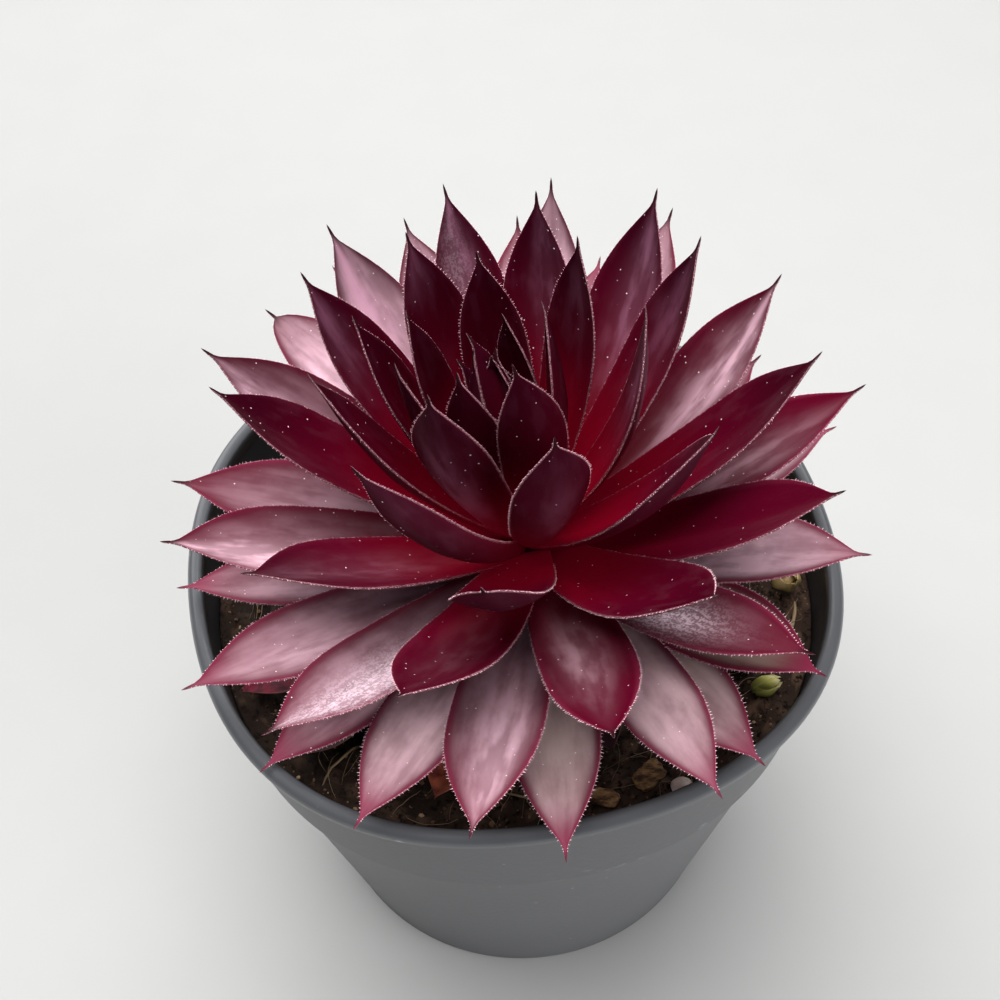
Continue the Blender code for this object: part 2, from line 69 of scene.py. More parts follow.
# Peat, with the same lumps as the part's own source, and its crumbs and fibres
SOIL_Z = 78.0
SOIL_EDGE_Z = 77.0
SOIL_SEED = 7
SOIL_LUMPS = 46
SOIL_LUMP_REACH = 52.0
SOIL_LUMP_HEIGHT = 2.6
SOIL_LUMP_WIDTH = 5.0
SOIL_RINGS = 130
SOIL_SIDES = 288
GRAIN_COUNT = 2600
GRAIN_RADII = (0.35, 1.7)
GRAIN_REACH = 55.0
CRUMB_COUNT = 2400
CRUMB_SIZES = (0.18, 0.75)
CRUMB_REACH = 54.0
THREAD_REACH = 51.0
FIBRES = dict(count=420, lengths=(3.0, 13.0), radius=0.07, rows=9, sides=3, seed=SEED + 4)
STRAWS = dict(count=16, lengths=(8.0, 17.0), radius=0.3, rows=12, sides=6, seed=SEED + 5)

# Crown and spiral, as in the part's own source
CROWN = np.array([4.4, -5.9, 90.0])
LEAN_TO_X = -6.6
LEAN_TO_Y = 2.1
LEAF_COUNT = 72
FIRST_LEAF_TURN = 305.0
DIVERGENCE = 137.53
WIDEST_AT = 0.6
FOOT_SHARE = 0.52
LIP_CLEARANCE = 0.5
LIP_BAND = (0.92, 1.04)
RISE_STEP = 0.5
CORE_PROFILE = (
    (0.0, 24.0), (2.6, 21.0), (4.6, 14.0), (6.4, 5.0), (8.6, -2.0), (8.2, -6.0), (6.0, -10.0), (6.0, -18.0),
)

# How single leaves depart from the rule, by leaf number: factors of length and width, the rest added
DEPARTURES = dict(
    turn={
        5: -0.5, 7: -4.5, 8: -3.2, 10: 2.5, 12: 9, 13: 1, 14: 3, 15: 2, 16: -8, 17: -3, 18: 1, 19: -4, 20: -5,
        21: 1.5, 22: -4, 23: 3, 24: -2, 25: -5, 26: 1, 27: -1, 28: 1, 29: -1, 30: -4, 31: 5, 32: -4, 33: 3,
        34: 0.6, 35: -2, 36: 6, 38: -5, 39: -3, 44: 2, 45: 4, 46: -3, 48: 4, 49: -6, 50: 4.5, 52: -10,
        53: 2.5, 55: -21, 56: 4, 57: -12, 59: 21, 60: -28, 61: -14, 63: 9, 66: 11, 68: 38,
    },
    rise={
        2: -1, 5: -1, 7: 1.3, 8: -2, 11: -6, 13: -1, 15: 1, 16: 2, 17: 6, 18: -1, 19: -6, 20: -1, 21: -1,
        22: 1, 23: -1, 24: 1, 25: 4, 27: -1, 28: 1, 29: 2, 30: -1, 32: 2, 33: 8, 34: -1, 36: -1, 37: -2,
        38: 2, 39: -3, 40: 2, 43: -3, 44: 4, 46: -1, 47: 2, 50: 1, 52: 2, 54: -3, 55: 1, 57: -5, 59: -6,
        60: -7, 63: 5, 66: -6,
    },
    length={
        1: 0.95, 2: 1.01, 3: 0.75, 4: 0.9, 6: 0.92, 8: 0.9, 9: 0.95, 10: 0.985, 11: 0.91, 12: 0.85, 16: 0.92,
        17: 1.05, 18: 1.02, 19: 0.82, 20: 0.96, 21: 0.94, 23: 0.985, 24: 0.95, 25: 0.96, 28: 0.98, 29: 0.98,
        30: 0.98, 32: 0.95, 34: 1.03, 35: 0.98, 39: 0.9, 41: 1.02, 42: 1.015, 44: 1.05, 45: 1.03, 50: 1.03,
        53: 1.02, 61: 0.97, 62: 0.9, 63: 0.97, 64: 0.9, 65: 0.9, 66: 0.92, 67: 0.86, 68: 0.94, 69: 0.85,
        70: 0.85, 71: 0.85,
    },
    width={
        5: 0.93, 7: 0.93, 8: 1.05, 10: 0.96, 13: 0.83, 16: 0.94, 18: 0.95, 20: 1.08, 21: 0.82, 23: 0.9,
        26: 0.92, 28: 1.08, 29: 0.96, 31: 0.98, 33: 1.08, 35: 0.88, 41: 1.05, 43: 0.92, 44: 0.55, 45: 0.95,
        50: 0.85, 52: 1.12,
    },
    sway={
        5: 0.01, 8: 0.022, 13: 0.024, 15: -0.015, 16: 0.03, 20: -0.04, 23: -0.01, 25: -0.04, 26: 0.02,
        28: -0.05, 29: 0.022, 33: -0.04, 41: -0.03, 43: -0.01, 52: -0.02, 55: 0.03,
    },
    bow={36: 0.04, 42: -0.007, 44: -0.035, 50: -0.036},
    fold={42: 0.05, 50: -0.1},
    roll={44: 34, 50: 10},
    hook={39: 0.04},
    blunt={25: 0.6, 26: 0.25, 31: 0.1, 34: 0.15, 39: 0.85},
)
FACTORS = ("length", "width")
STRAIGHT = dict(sway=0.0, roll=0.0, hook=0.0, blunt=0.0)

# Leaf surface: rows from foot to tip, closer towards the tip, and columns round the section
LEAF_ROWS = 42
TIP_CROWDING = 1.25
LAST_ROW = 0.9999
UPPER_COLUMNS = 15
LOWER_COLUMNS = 9
EDGE_THICKNESS = 0.32
SPINE_LENGTH = 0.04
SPINE_RADIUS = 0.3
CRINKLE = 0.012
GROOVE_DEPTH = 0.05

# Loose pieces on the peat, as in the part's own source; their places come from their CAD nodes
CHIPS = (dict(turn=35, tilt=14), dict(turn=-20, tilt=8), dict(turn=70, tilt=-10))
BUDS = (
    dict(length=6.2, width=3.4, turn=-35, rise=38, ripe=0.1),
    dict(length=5.4, width=2.6, turn=5, rise=22, ripe=0.0),
    dict(length=6.6, width=4.2, turn=-80, rise=52, ripe=0.9),
    dict(length=7.0, width=4.2, turn=110, rise=48, ripe=0.3),
)
BUD_SCALES = 7
WITHERED = (
    dict(length=20, width=10, turn=207, rise=4, bow=0.06, fold=0.35),
    dict(length=16.5, width=10, turn=229, rise=5, bow=0.1, fold=0.2),
    dict(length=15.5, width=8, turn=226, rise=16, bow=0.08, fold=0.3),
    dict(length=12.5, width=7, turn=243, rise=8, bow=0.16, fold=0.55),
    dict(length=22, width=9, turn=288, rise=2, bow=0.07, fold=0.15),
)
WITHERED_THICKNESS = 1.2
WITHERED_COLOURS = (
    ((0.13, 0.008, 0.02), (0.03, 0.004, 0.01)),
    ((0.06, 0.006, 0.016), (0.015, 0.003, 0.007)),
    ((0.07, 0.025, 0.045), (0.02, 0.006, 0.014)),
    ((0.28, 0.07, 0.035), (0.09, 0.014, 0.014)),
    ((0.028, 0.008, 0.012), (0.012, 0.005, 0.006)),
)

# Fringe of hairs on the leaves' edges
HAIR_SPACING = 0.62
HAIR_LENGTH = 0.48
HAIR_RADIUS = 0.085
FRINGE_FROM = 0.22
FRINGE_SPAN = 0.755

# How bloomed and green single leaves are, beside what their age gives them; some raised bloom is painted
# light: a pale reflection on the far leaves and a lift on shaded low ones
BLOOM = {
    0: -0.22, 2: -0.5, 5: -0.12, 7: -0.3, 8: -0.8, 10: 0.35, 13: 0.15, 15: -0.22, 16: 0.6, 18: -0.15,
    20: -0.25, 21: -0.35, 22: 0.1, 24: -0.65, 25: 1.0, 26: -0.36, 27: 0.75, 28: -0.05, 29: -0.3, 30: 1.05,
    31: -0.25, 32: -0.08, 33: 0.1, 34: -0.15, 35: 0.85, 38: 0.7, 42: -0.05,
}
GREEN = {0: 0.6, 5: 0.7, 8: 0.8, 10: 0.3, 13: 0.35}

# Patches of scuffed skin, partly painted highlight, and of painted gloss: strength, middle along and across
# the leaf, and reach along it
# Scuffed patches are partly painted highlight: pale skin where a glossy highlight lies
SCUFFS_AND_HIGHLIGHTS = {21: (1.5, 0.47, -0.15, 0.17), 23: (1.2, 0.66, 0.4, 0.26), 43: (0.14, 0.72, 0.3, 0.22)}
PAINTED_SHEENS = {
    10: (0.5, 0.4, 0.1, 0.4), 13: (0.4, 0.6, -0.1, 0.3), 15: (0.45, 0.65, 0.2, 0.25),
    18: (1.0, 0.75, 0.15, 0.22), 20: (0.3, 0.5, 0.1, 0.3), 23: (0.5, 0.55, 0.3, 0.4),
    24: (0.35, 0.6, -0.3, 0.22), 26: (0.38, 0.52, -0.1, 0.22), 28: (1.1, 0.75, 0.35, 0.24),
    31: (0.05, 0.5, 0.0, 0.4), 32: (0.8, 0.65, -0.35, 0.35), 33: (0.7, 0.75, 0.4, 0.3),
    36: (0.1, 0.6, 0.1, 0.35), 38: (0.5, 0.7, 0.2, 0.3), 40: (0.24, 0.7, -0.2, 0.3),
    42: (0.05, 0.9, -0.7, 0.12), 43: (0.2, 0.85, 0.1, 0.22), 44: (0.1, 0.6, 0.3, 0.3),
    45: (0.12, 0.75, 0.0, 0.25), 46: (0.14, 0.85, 0.3, 0.2), 47: (0.16, 0.45, 0.0, 0.26),
    48: (0.12, 0.75, -0.3, 0.25), 50: (0.14, 0.75, 0.0, 0.25), 51: (0.12, 0.92, 0.2, 0.1),
    52: (0.4, 0.4, -0.2, 0.3), 53: (0.06, 0.85, 0.0, 0.15),
}
NO_PATCH = (0.0, 0.5, 0.0, 0.3)
PATCH_BREADTH = 0.5

# Steps in mm that give each leaf, and each of its sides, its own piece of the skin's patterns
LEAF_PATTERN_STEP = 23.0
SIDE_PATTERN_STEP = 9.0

# Linear colours of the leaves
WINE = (0.072, 0.0010, 0.0100)
DEEP_WINE = (0.060, 0.0004, 0.0052)
DARK_TIP = (0.020, 0.0006, 0.0044)
# Painted light: a red at the leaves' feet and a faint emission stand in for light shining through the leaf
PAINTED_GLOW_RED = (0.270, 0.0006, 0.009)
PAINTED_GLOW_EMISSION = (0.045, 0.0004, 0.0034)
# Pale bloom, also the colour of the painted highlights on the older leaves
MAUVE_BLOOM_AND_SHEEN = (0.690, 0.430, 0.505)
LILAC_PAINTED_SHEEN = (0.620, 0.240, 0.400)
GREEN_GREY = (0.440, 0.365, 0.300)
EDGE_CRIMSON = (0.160, 0.018, 0.045)
UNDERSIDE = (0.055, 0.007, 0.017)
TIP_BROWN = (0.020, 0.005, 0.007)
WORN_SKIN_AND_HIGHLIGHT = (0.840, 0.640, 0.720)
MARGIN_PINK = (0.700, 0.380, 0.430)
DUST_PINK = (0.850, 0.720, 0.740)
HAIR_PINK = (0.850, 0.560, 0.620)
HAIR_ROSE = (0.850, 0.480, 0.530)
CORE_BROWN = (0.050, 0.008, 0.012)
BLACK = (0.0, 0.0, 0.0)

# Linear colours of the pot, the peat and the loose pieces
GREY_DARK = (0.086, 0.087, 0.091)
GREY_LIGHT = (0.115, 0.116, 0.121)
GREY_LIP = (0.060, 0.062, 0.068)
GREY_COLLAR = (0.077, 0.078, 0.082)
GREY_RUBBED = (0.620, 0.630, 0.650)
GREY_NICK = (0.750, 0.760, 0.780)
GREY_DUST = (0.500, 0.500, 0.500)
GREY_INSIDE = (0.016, 0.017, 0.019)
PEAT_DARK = (0.030, 0.019, 0.014)
PEAT_BROWN = (0.170, 0.098, 0.064)
PEAT_BLACK = (0.004, 0.003, 0.003)
PEAT_LEFT_DARKER = (0.010, 0.007, 0.006)
PEAT_FLECK = (0.260, 0.160, 0.090)
CRUMB_DARK = (0.035, 0.021, 0.015)
CRUMB_BROWN = (0.200, 0.115, 0.070)
CRUMB_TAN = (0.360, 0.240, 0.150)
FIBRE_BROWN = (0.080, 0.048, 0.028)
FIBRE_STRAW = (0.420, 0.300, 0.180)
BARK_DARK = (0.060, 0.030, 0.016)
BARK_RUST = (0.340, 0.190, 0.085)
BARK_WORN = (0.500, 0.350, 0.190)
STONE_PINK = (0.620, 0.470, 0.400)
STONE_PALE = (0.880, 0.760, 0.690)
BUD_GREEN = (0.200, 0.210, 0.035)
BUD_YELLOW = (0.500, 0.470, 0.110)
BUD_TIP = (0.820, 0.720, 0.420)
BUD_TAN = (0.520, 0.310, 0.150)
BUD_EDGE = (0.500, 0.500, 0.200)
DRY_EDGE = (0.300, 0.160, 0.120)

# Studio: the floor's shades, the sky, and soft boxes by name
FLOOR_SIZE = 8.0
FLOOR_SHADES = ((0.335, 0.332, 0.326), (0.350, 0.347, 0.341))
SKY_COLOUR = (0.92, 0.95, 1.0)
SKY_STRENGTH = 0.42
SOFT_BOXES = {
    "sky": dict(place=(-0.1, 0.1, 1.0), aim=(0.0, 0.0, 0.1), size=(0.9, 0.9), power=20.0, mirrored=False),
    "back": dict(place=(-0.1, 0.9, 0.62), aim=(0.0, 0.0, 0.1), size=(1.8, 0.8), power=10.0, mirrored=True),
    "fill": dict(place=(0.7, -0.65, 0.45), aim=(0.0, 0.0, 0.08), size=(0.9, 0.6), power=8.5, mirrored=False),
}

# A pale moulding mark on the lip, in metres
LIP_NICK = (-0.0196, -0.0560, 0.0872)

# Camera: place, aim and lens as found from the pot's lip, collar and foot
CAMERA_PLACE = (0.0, -0.16678, 0.30483)
CAMERA_PITCH = 50.55
CAMERA_YAW = -0.45
CAMERA_ROLL = -3.28
CAMERA_LENS = 54.0

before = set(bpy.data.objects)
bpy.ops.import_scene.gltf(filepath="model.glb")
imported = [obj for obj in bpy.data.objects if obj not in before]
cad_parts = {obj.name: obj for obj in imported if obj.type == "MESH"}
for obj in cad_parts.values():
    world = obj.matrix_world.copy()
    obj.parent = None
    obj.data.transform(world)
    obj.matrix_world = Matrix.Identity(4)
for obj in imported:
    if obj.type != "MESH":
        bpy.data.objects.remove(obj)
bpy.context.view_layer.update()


class Value:
    """A socket of a material's node, which works in plain arithmetic by adding Math nodes."""

    def __init__(self, finish, socket):
        self.finish = finish
        self.socket = socket

    def maths(self, operation, first, second):
        return self.finish.node("ShaderNodeMath", {0: first, 1: second}, operation=operation)

    def __add__(self, other):
        return self.maths("ADD", self, other)

    def __sub__(self, other):
        return self.maths("SUBTRACT", self, other)

    def __rsub__(self, other):
        return self.maths("SUBTRACT", other, self)

    def __mul__(self, other):
        return self.maths("MULTIPLY", self, other)

    __radd__ = __add__
    __rmul__ = __mul__


class Finish:
    """A material, its Principled shader and methods that add its other nodes."""

    def __init__(self, name, **constants):
        self.material = bpy.data.materials.new(name)
        self.material.use_nodes = True
        self.tree = self.material.node_tree
        self.shader = self.tree.nodes["Principled BSDF"]
        self.wear(**constants)

    def feed(self, socket, value):
        if isinstance(value, Value):
            self.tree.links.new(value.socket, socket)
        elif socket.type == "RGBA":
            socket.default_value = (*value[:3], 1.0)
        else:
            socket.default_value = value

    def node(self, kind, inputs=None, output=0, **settings):
        """Add a node: its settings first, then the values or links of its sockets."""
        made = self.tree.nodes.new(kind)
        for name, value in settings.items():
            setattr(made, name, value)
        for name, value in (inputs or {}).items():
            self.feed(made.inputs[name], value)
        return Value(self, made.outputs[output])

    def attribute(self, name, output="Fac"):
        return self.node("ShaderNodeAttribute", output=output, attribute_name=name)

    def attributes(self, names):
        return [self.attribute(name) for name in names.split()]

    def place(self):
        return self.node("ShaderNodeTexCoord", output="Object")

    def axis(self, vector, letter):
        return self.node("ShaderNodeSeparateXYZ", {"Vector": vector}, output=letter)

    def stretched(self, vector, scale):
        return self.node("ShaderNodeVectorMath", {0: vector, 1: scale}, operation="MULTIPLY")

    def noise(self, vector, scale, detail=3.0, roughness=0.55):
        sockets = {"Vector": vector, "Scale": scale, "Detail": detail, "Roughness": roughness}
        return self.node("ShaderNodeTexNoise", sockets, noise_dimensions="3D")

    def spots(self, vector, scale, reach):
        """1 at the middle of scattered cells, falling to 0 at the reach from it."""
        near = self.node("ShaderNodeTexVoronoi", {"Vector": vector, "Scale": scale}, output="Distance")
        return self.step(near, reach, reach * 0.5)

    def step(self, value, low, high):
        """Smooth rise from 0 where the value is low to 1 where it is high; a fall, with low above high."""
        sockets = {"Value": value, "From Min": low, "From Max": high}
        return self.node("ShaderNodeMapRange", sockets, interpolation_type="SMOOTHSTEP")

    def mix(self, first, second, factor):
        sockets = {0: factor, 6: first, 7: second}
        return self.node("ShaderNodeMix", sockets, output=2, data_type="RGBA")

    def layered(self, shade, *coats):
        """A shade under coats of colour, each given with the share that it covers."""
        for colour, share in coats:
            shade = self.mix(shade, colour, share)
        return shade

    def bump(self, height, strength, distance):
        return self.node("ShaderNodeBump", {"Height": height, "Strength": strength, "Distance": distance})

    def wear(self, **sockets):
        """Feed the shader's sockets; underscores stand for the spaces of their names."""
        for name, value in sockets.items():
            self.feed(self.shader.inputs[name.replace("_", " ")], value)
        return self.material


def clamp(value, low=0.0, high=1.0):
    return np.minimum(np.maximum(value, low), high)


def unit(vectors):
    """Vectors of length 1 that point the same ways."""
    return vectors / np.linalg.norm(vectors, axis=-1, keepdims=True)


def smooth_step(value, low, high):
    """Share of the way from low to high, eased at both ends."""
    share = clamp((value - low) / (high - low))
    return share * share * (3 - 2 * share)


def grid_faces(rows, columns):
    """Quads of a grid of points whose columns go round the shape and close on themselves."""
    row, column = np.meshgrid(np.arange(rows - 1), np.arange(columns), indexing="ij")
    after = (column + 1) % columns
    start, following = row * columns, (row + 1) * columns
    quads = np.stack([start + column, start + after, following + after, following + column], axis=-1)
    return quads.reshape(-1, 4)


def make_mesh(name, points, faces, attributes=None, smooth=True):
    """A mesh from arrays: points in metres, a list of face arrays, and values or vectors at its points."""
    mesh = bpy.data.meshes.new(name)
    corners = np.concatenate([face.ravel() for face in faces])
    sizes = np.concatenate([np.full(len(face), face.shape[1]) for face in faces])
    starts = np.concatenate([[0], np.cumsum(sizes)[:-1]])
    mesh.vertices.add(len(points))
    mesh.vertices.foreach_set("co", np.asarray(points, dtype=np.float32).ravel())
    mesh.loops.add(len(corners))
    mesh.loops.foreach_set("vertex_index", corners.astype(np.int32))
    mesh.polygons.add(len(sizes))
    mesh.polygons.foreach_set("loop_start", starts.astype(np.int32))
    mesh.polygons.foreach_set("use_smooth", np.full(len(sizes), smooth))
    for label, values in (attributes or {}).items():
        values = np.asarray(values, dtype=np.float32)
        kind, field = ("FLOAT", "value") if values.ndim == 1 else ("FLOAT_VECTOR", "vector")
        mesh.attributes.new(label, kind, "POINT").data.foreach_set(field, values.ravel())
    mesh.update(calc_edges=True)
    mesh.validate()
    return mesh


def added(name, data):
    """A new object in the scene."""
    thing = bpy.data.objects.new(name, data)
    bpy.context.scene.collection.objects.link(thing)
    return thing


def make_piece(name, mesh, finish, slot, *nodes):
    """Put a mesh into the scene as a piece that rides on the part and stands for its nodes."""
    piece = added(name, mesh)
    mesh.materials.append(finish)
    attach(piece, "root")
    for node in nodes:
        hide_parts(node)


def crown_turn():
    """Rows turn a point of the crown's own frame into the part's frame."""
    to_y = Matrix.Rotation(math.radians(-LEAN_TO_Y), 3, "X")
    to_x = Matrix.Rotation(math.radians(LEAN_TO_X), 3, "Y")
    return np.array(to_y @ to_x).T


def leaf_settings(number):
    """One leaf's sizes from its age, 0 for the oldest and 1 for the youngest, in mm and degrees."""
    age = number / (LEAF_COUNT - 1)
    leaf = dict(
        turn=FIRST_LEAF_TURN + DIVERGENCE * number,
        rise=6.7 + 102.5 * age ** 1.61,
        length=55.2 + 54.7 * age - 78.2 * age ** 2,
        width=15.0 + 9.0 * age - 18.0 * age ** 2,
        thick=3.4 - 1.5 * age,
        out=4.0 - 3.0 * age,
        up=-2.0 + 20.0 * age,
        bow=max(0.06 - 0.27 * age, -0.06),
        fold=0.10 + 0.12 * age,
        edge=EDGE_THICKNESS, spine=SPINE_RADIUS, crinkle=CRINKLE,
        age=age, number=number, **STRAIGHT,
    )
    for name, changes in DEPARTURES.items():
        if name in FACTORS:
            leaf[name] *= changes.get(number, 1.0)
        else:
            leaf[name] += changes.get(number, 0.0)
    return leaf


def half_width(along, blunt):
    """Share of the half width: a broad foot, widest past the middle, then a drawn-out point."""
    growing = FOOT_SHARE + (1 - FOOT_SHARE) * np.sin(np.pi / 2 * clamp(along / WIDEST_AT)) ** 1.3
    past = clamp((along - WIDEST_AT) / (1 - WIDEST_AT))
    pointed = (1 - past ** 2.7) * (1 - 0.3 * past ** 3)
    round_end = np.sqrt(clamp(1 - past ** 3.2))
    return np.where(along < WIDEST_AT, growing, pointed + blunt * (round_end - pointed))


def leaf_frame(leaf):
    """Directions outward, along, across and up from a leaf, in the crown's frame."""
    turn, rise, roll = (math.radians(leaf[name]) for name in ("turn", "rise", "roll"))
    outward = np.array([math.cos(turn), math.sin(turn), 0.0])
    side = np.array([-math.sin(turn), math.cos(turn), 0.0])
    up = np.array([0.0, 0.0, 1.0])
    along = math.cos(rise) * outward + math.sin(rise) * up
    upper = math.cos(rise) * up - math.sin(rise) * outward
    across = side * math.cos(roll) + upper * math.sin(roll)
    return outward, along, across, upper * math.cos(roll) - side * math.sin(roll)


def section_columns():
    """Places round a leaf's section: across from -1 to 1; under, 0 on the upper face and 1 on the lower."""
    upper = -np.cos(np.pi * (np.arange(UPPER_COLUMNS) + 0.5) / UPPER_COLUMNS)
    lower = np.cos(np.pi * (np.arange(LOWER_COLUMNS) + 0.5) / LOWER_COLUMNS)
    across = np.concatenate([[-1.0], upper, [1.0], lower])
    under = np.concatenate([[0.5], np.zeros(UPPER_COLUMNS), [0.5], np.ones(LOWER_COLUMNS)])
    return across, under


def leaf_points(leaf, along, across, under):
    """Points of a leaf for shares along it and across it.

    The middle line is the chord from foot to tip, bowed, swayed and hooked. Across it the half width
    swells and narrows, the edges lift as a power of the distance from the middle, and the lower face
    hangs under the upper one as a rounded keel. Past the blade the last stretch is a slender spine.
    """
    outward, forward, side, upper = leaf_frame(leaf)
    foot = outward * leaf["out"] + np.array([0.0, 0.0, leaf["up"]])
    arch = 4 * (along - along ** 2)
    tip = clamp((along - 0.7) / 0.3) ** 2
    lift = leaf["bow"] * arch + leaf["hook"] * tip
    sway = leaf["sway"] * arch
    middle = foot + leaf["length"] * (forward * along + upper * lift + side * sway)
    blade = leaf["width"] / 2 * half_width(clamp(along / (1 - SPINE_LENGTH)), leaf["blunt"])
    spine = leaf["spine"] * np.sqrt(clamp((1 - along) / SPINE_LENGTH))
    half = np.sqrt(blade ** 2 + spine ** 2)
    deep = leaf["thick"] * (1 - 0.3 * along) * clamp(2.2 * (1 - along))
    edge = np.minimum(leaf["edge"], half)
    deep = np.maximum(deep, edge)
    distance = np.abs(across)
    ripple = leaf["crinkle"] * np.sin(9 * along + leaf["number"]) * distance ** 3 * np.sign(across)
    groove = GROOVE_DEPTH * np.exp(-(across / 0.28) ** 2)
    groove = groove * smooth_step(along, 0.05, 0.3) * smooth_step(along, 0.98, 0.75)
    relief = (leaf["fold"] * distance ** 1.6 + ripple - groove) * half
    keel = edge + (deep - edge) * clamp(1 - distance ** 2.4) ** 0.8
    return middle + side * (half * across) + upper * (relief - under * keel)


def place_leaf(points):
    """Bring points from the crown's frame, in mm, to the part's frame, in metres."""
    return (points @ crown_turn() + CROWN) * MM


def clears_lip(leaf):
    """Whether a leaf's underside passes over the pot's lip with room to spare."""
    along = 0.4 + 0.6 * np.linspace(0, 1, 41)[:, None, None]
    across, under = section_columns()
    spots = place_leaf(leaf_points(leaf, along, across[None, :, None], under[None, :, None])) / MM
    reach = np.hypot(spots[..., 0], spots[..., 1])
    near, far = LIP_BAND
    over_lip = (reach > RIM_RADIUS * near) & (reach < RIM_RADIUS * far)
    return not np.any(over_lip & (spots[..., 2] < POT_HEIGHT + LIP_CLEARANCE))


def grown_leaves():
    """Settings of all leaves, the low ones raised until they pass over the lip."""
    leaves = []
    for number in range(LEAF_COUNT):
        leaf = leaf_settings(number)
        while not clears_lip(leaf):
            leaf["rise"] += RISE_STEP
        leaf["bloom"] = clamp(1.05 - 2.1 * leaf["age"]) + BLOOM.get(number, 0.0)
        leaf["green"] = GREEN.get(number, 0.0)
        leaf["scuff"] = SCUFFS_AND_HIGHLIGHTS.get(number, NO_PATCH)
        leaf["sheen"] = PAINTED_SHEENS.get(number, NO_PATCH)
        leaves.append(leaf)
    return leaves


def ripples(points, size, seed):
    """Smooth seeded relief about 0: sine waves in random directions, each octave finer and lower."""
    draw = np.random.default_rng(seed)
    total = np.zeros(len(points))
    for octave in range(RIPPLE_OCTAVES):
        ways = draw.normal(size=(RIPPLE_WAVES, 3)) * 2 ** octave / size
        shifts = draw.uniform(0, 2 * np.pi, RIPPLE_WAVES)
        total += np.sin(points @ ways.T + shifts).sum(axis=1) / (math.sqrt(RIPPLE_WAVES) * 2 ** octave)
    return total


def random_turns(draw, count):
    """Rotation matrices of random unit quaternions."""
    quaternion = draw.normal(size=(4, count))
    w, x, y, z = quaternion / np.linalg.norm(quaternion, axis=0)
    rows = [
        [1 - 2 * (y * y + z * z), 2 * (x * y - w * z), 2 * (x * z + w * y)],
        [2 * (x * y + w * z), 1 - 2 * (x * x + z * z), 2 * (y * z - w * x)],
        [2 * (x * z - w * y), 2 * (y * z + w * x), 1 - 2 * (x * x + y * y)],
    ]
    return np.array(rows).transpose(2, 0, 1)


def ball(subdivisions):
    """Points and triangles of a unit ball."""
    shape = bmesh.new()
    bmesh.ops.create_icosphere(shape, subdivisions=subdivisions, radius=1.0)
    mesh = bpy.data.meshes.new("ball")
    shape.to_mesh(mesh)
    shape.free()
    points = np.empty(3 * len(mesh.vertices), dtype=np.float32)
    corners = np.empty(len(mesh.loops), dtype=np.int32)
    mesh.vertices.foreach_get("co", points)
    mesh.loops.foreach_get("vertex_index", corners)
    bpy.data.meshes.remove(mesh)
    return points.reshape(-1, 3).astype(float), corners.reshape(-1, 3)


def fitted(points, node):
    """Stretch and move points until they fill a CAD node's box; the result is in metres."""
    low, high = (np.array(corner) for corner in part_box(node))
    least, most = points.min(axis=0), points.max(axis=0)
    return low + (points - least) / (most - least) * (high - low)


def rotated(points, turn=0.0, tilt=0.0, nod=0.0):
    """Turn points by degrees: first nod about Y, then tilt about X, then turn about Z."""
    for angle, axis in ((nod, "Y"), (tilt, "X"), (turn, "Z")):
        points = points @ np.array(Matrix.Rotation(math.radians(angle), 3, axis)).T
    return points


def arc(centre, radius, first, last, steps):
    """Corners on an arc in a profile's plane, with no further rounding; angles in degrees from +X."""
    turns = np.radians(np.linspace(first, last, steps + 1))
    return [(centre[0] + radius * math.cos(t), centre[1] + radius * math.sin(t), 0.0) for t in turns]


def rounded(corners, steps=5):
    """Points of a profile of (radius, height, ease) corners, each eased by a parabola of that reach."""
    places = np.array([corner[:2] for corner in corners], dtype=float)
    share = np.linspace(0, 1, steps + 1)[:, None]
    points = [places[:1]]
    for before, corner, after, ease in zip(places, places[1:], places[2:], [spec[2] for spec in corners[1:]]):
        if ease == 0.0:
            points.append(corner[None, :])
            continue
        back, ahead = before - corner, after - corner
        start = corner + back * min(ease / np.linalg.norm(back), 0.45)
        end = corner + ahead * min(ease / np.linalg.norm(ahead), 0.45)
        points.append((1 - share) ** 2 * start + 2 * share * (1 - share) * corner + share ** 2 * end)
    points.append(places[-1:])
    return np.concatenate(points)


def turned(profile, sides):
    """A profile from the axis back to the axis, turned about Z: rings, with a single point at each end."""
    turns = 2 * np.pi * np.arange(sides) / sides
    rings = profile[1:-1]
    across = rings[:, 0, None] * np.cos(turns)
    ahead = rings[:, 0, None] * np.sin(turns)
    height = np.broadcast_to(rings[:, 1, None], across.shape)
    poles = [[0.0, 0.0, profile[0, 1]], [0.0, 0.0, profile[-1, 1]]]
    points = np.concatenate([np.stack([across, ahead, height], axis=-1).reshape(-1, 3), poles])
    side = np.arange(sides)
    after = (side + 1) % sides
    last = (len(rings) - 1) * sides
    first_fan = np.stack([np.full(sides, len(points) - 2), side, after], axis=-1)
    last_fan = np.stack([np.full(sides, len(points) - 1), last + after, last + side], axis=-1)
    return points, [grid_faces(len(rings), sides)[:, ::-1], np.concatenate([first_fan, last_fan])]


def squared_up(points):
    """Press a round form slightly square towards the rim, by a share of the radius that turns four times."""
    turn = np.arctan2(points[:, 1], points[:, 0]) - math.radians(SQUARE_CORNER_TURN)
    share = 1 + RIM_SQUARENESS * clamp(points[:, 2] / POT_HEIGHT, 0.0, 2.0) ** 3 * np.cos(4 * turn)
    return points * np.stack([share, share, np.ones_like(share)], axis=-1)


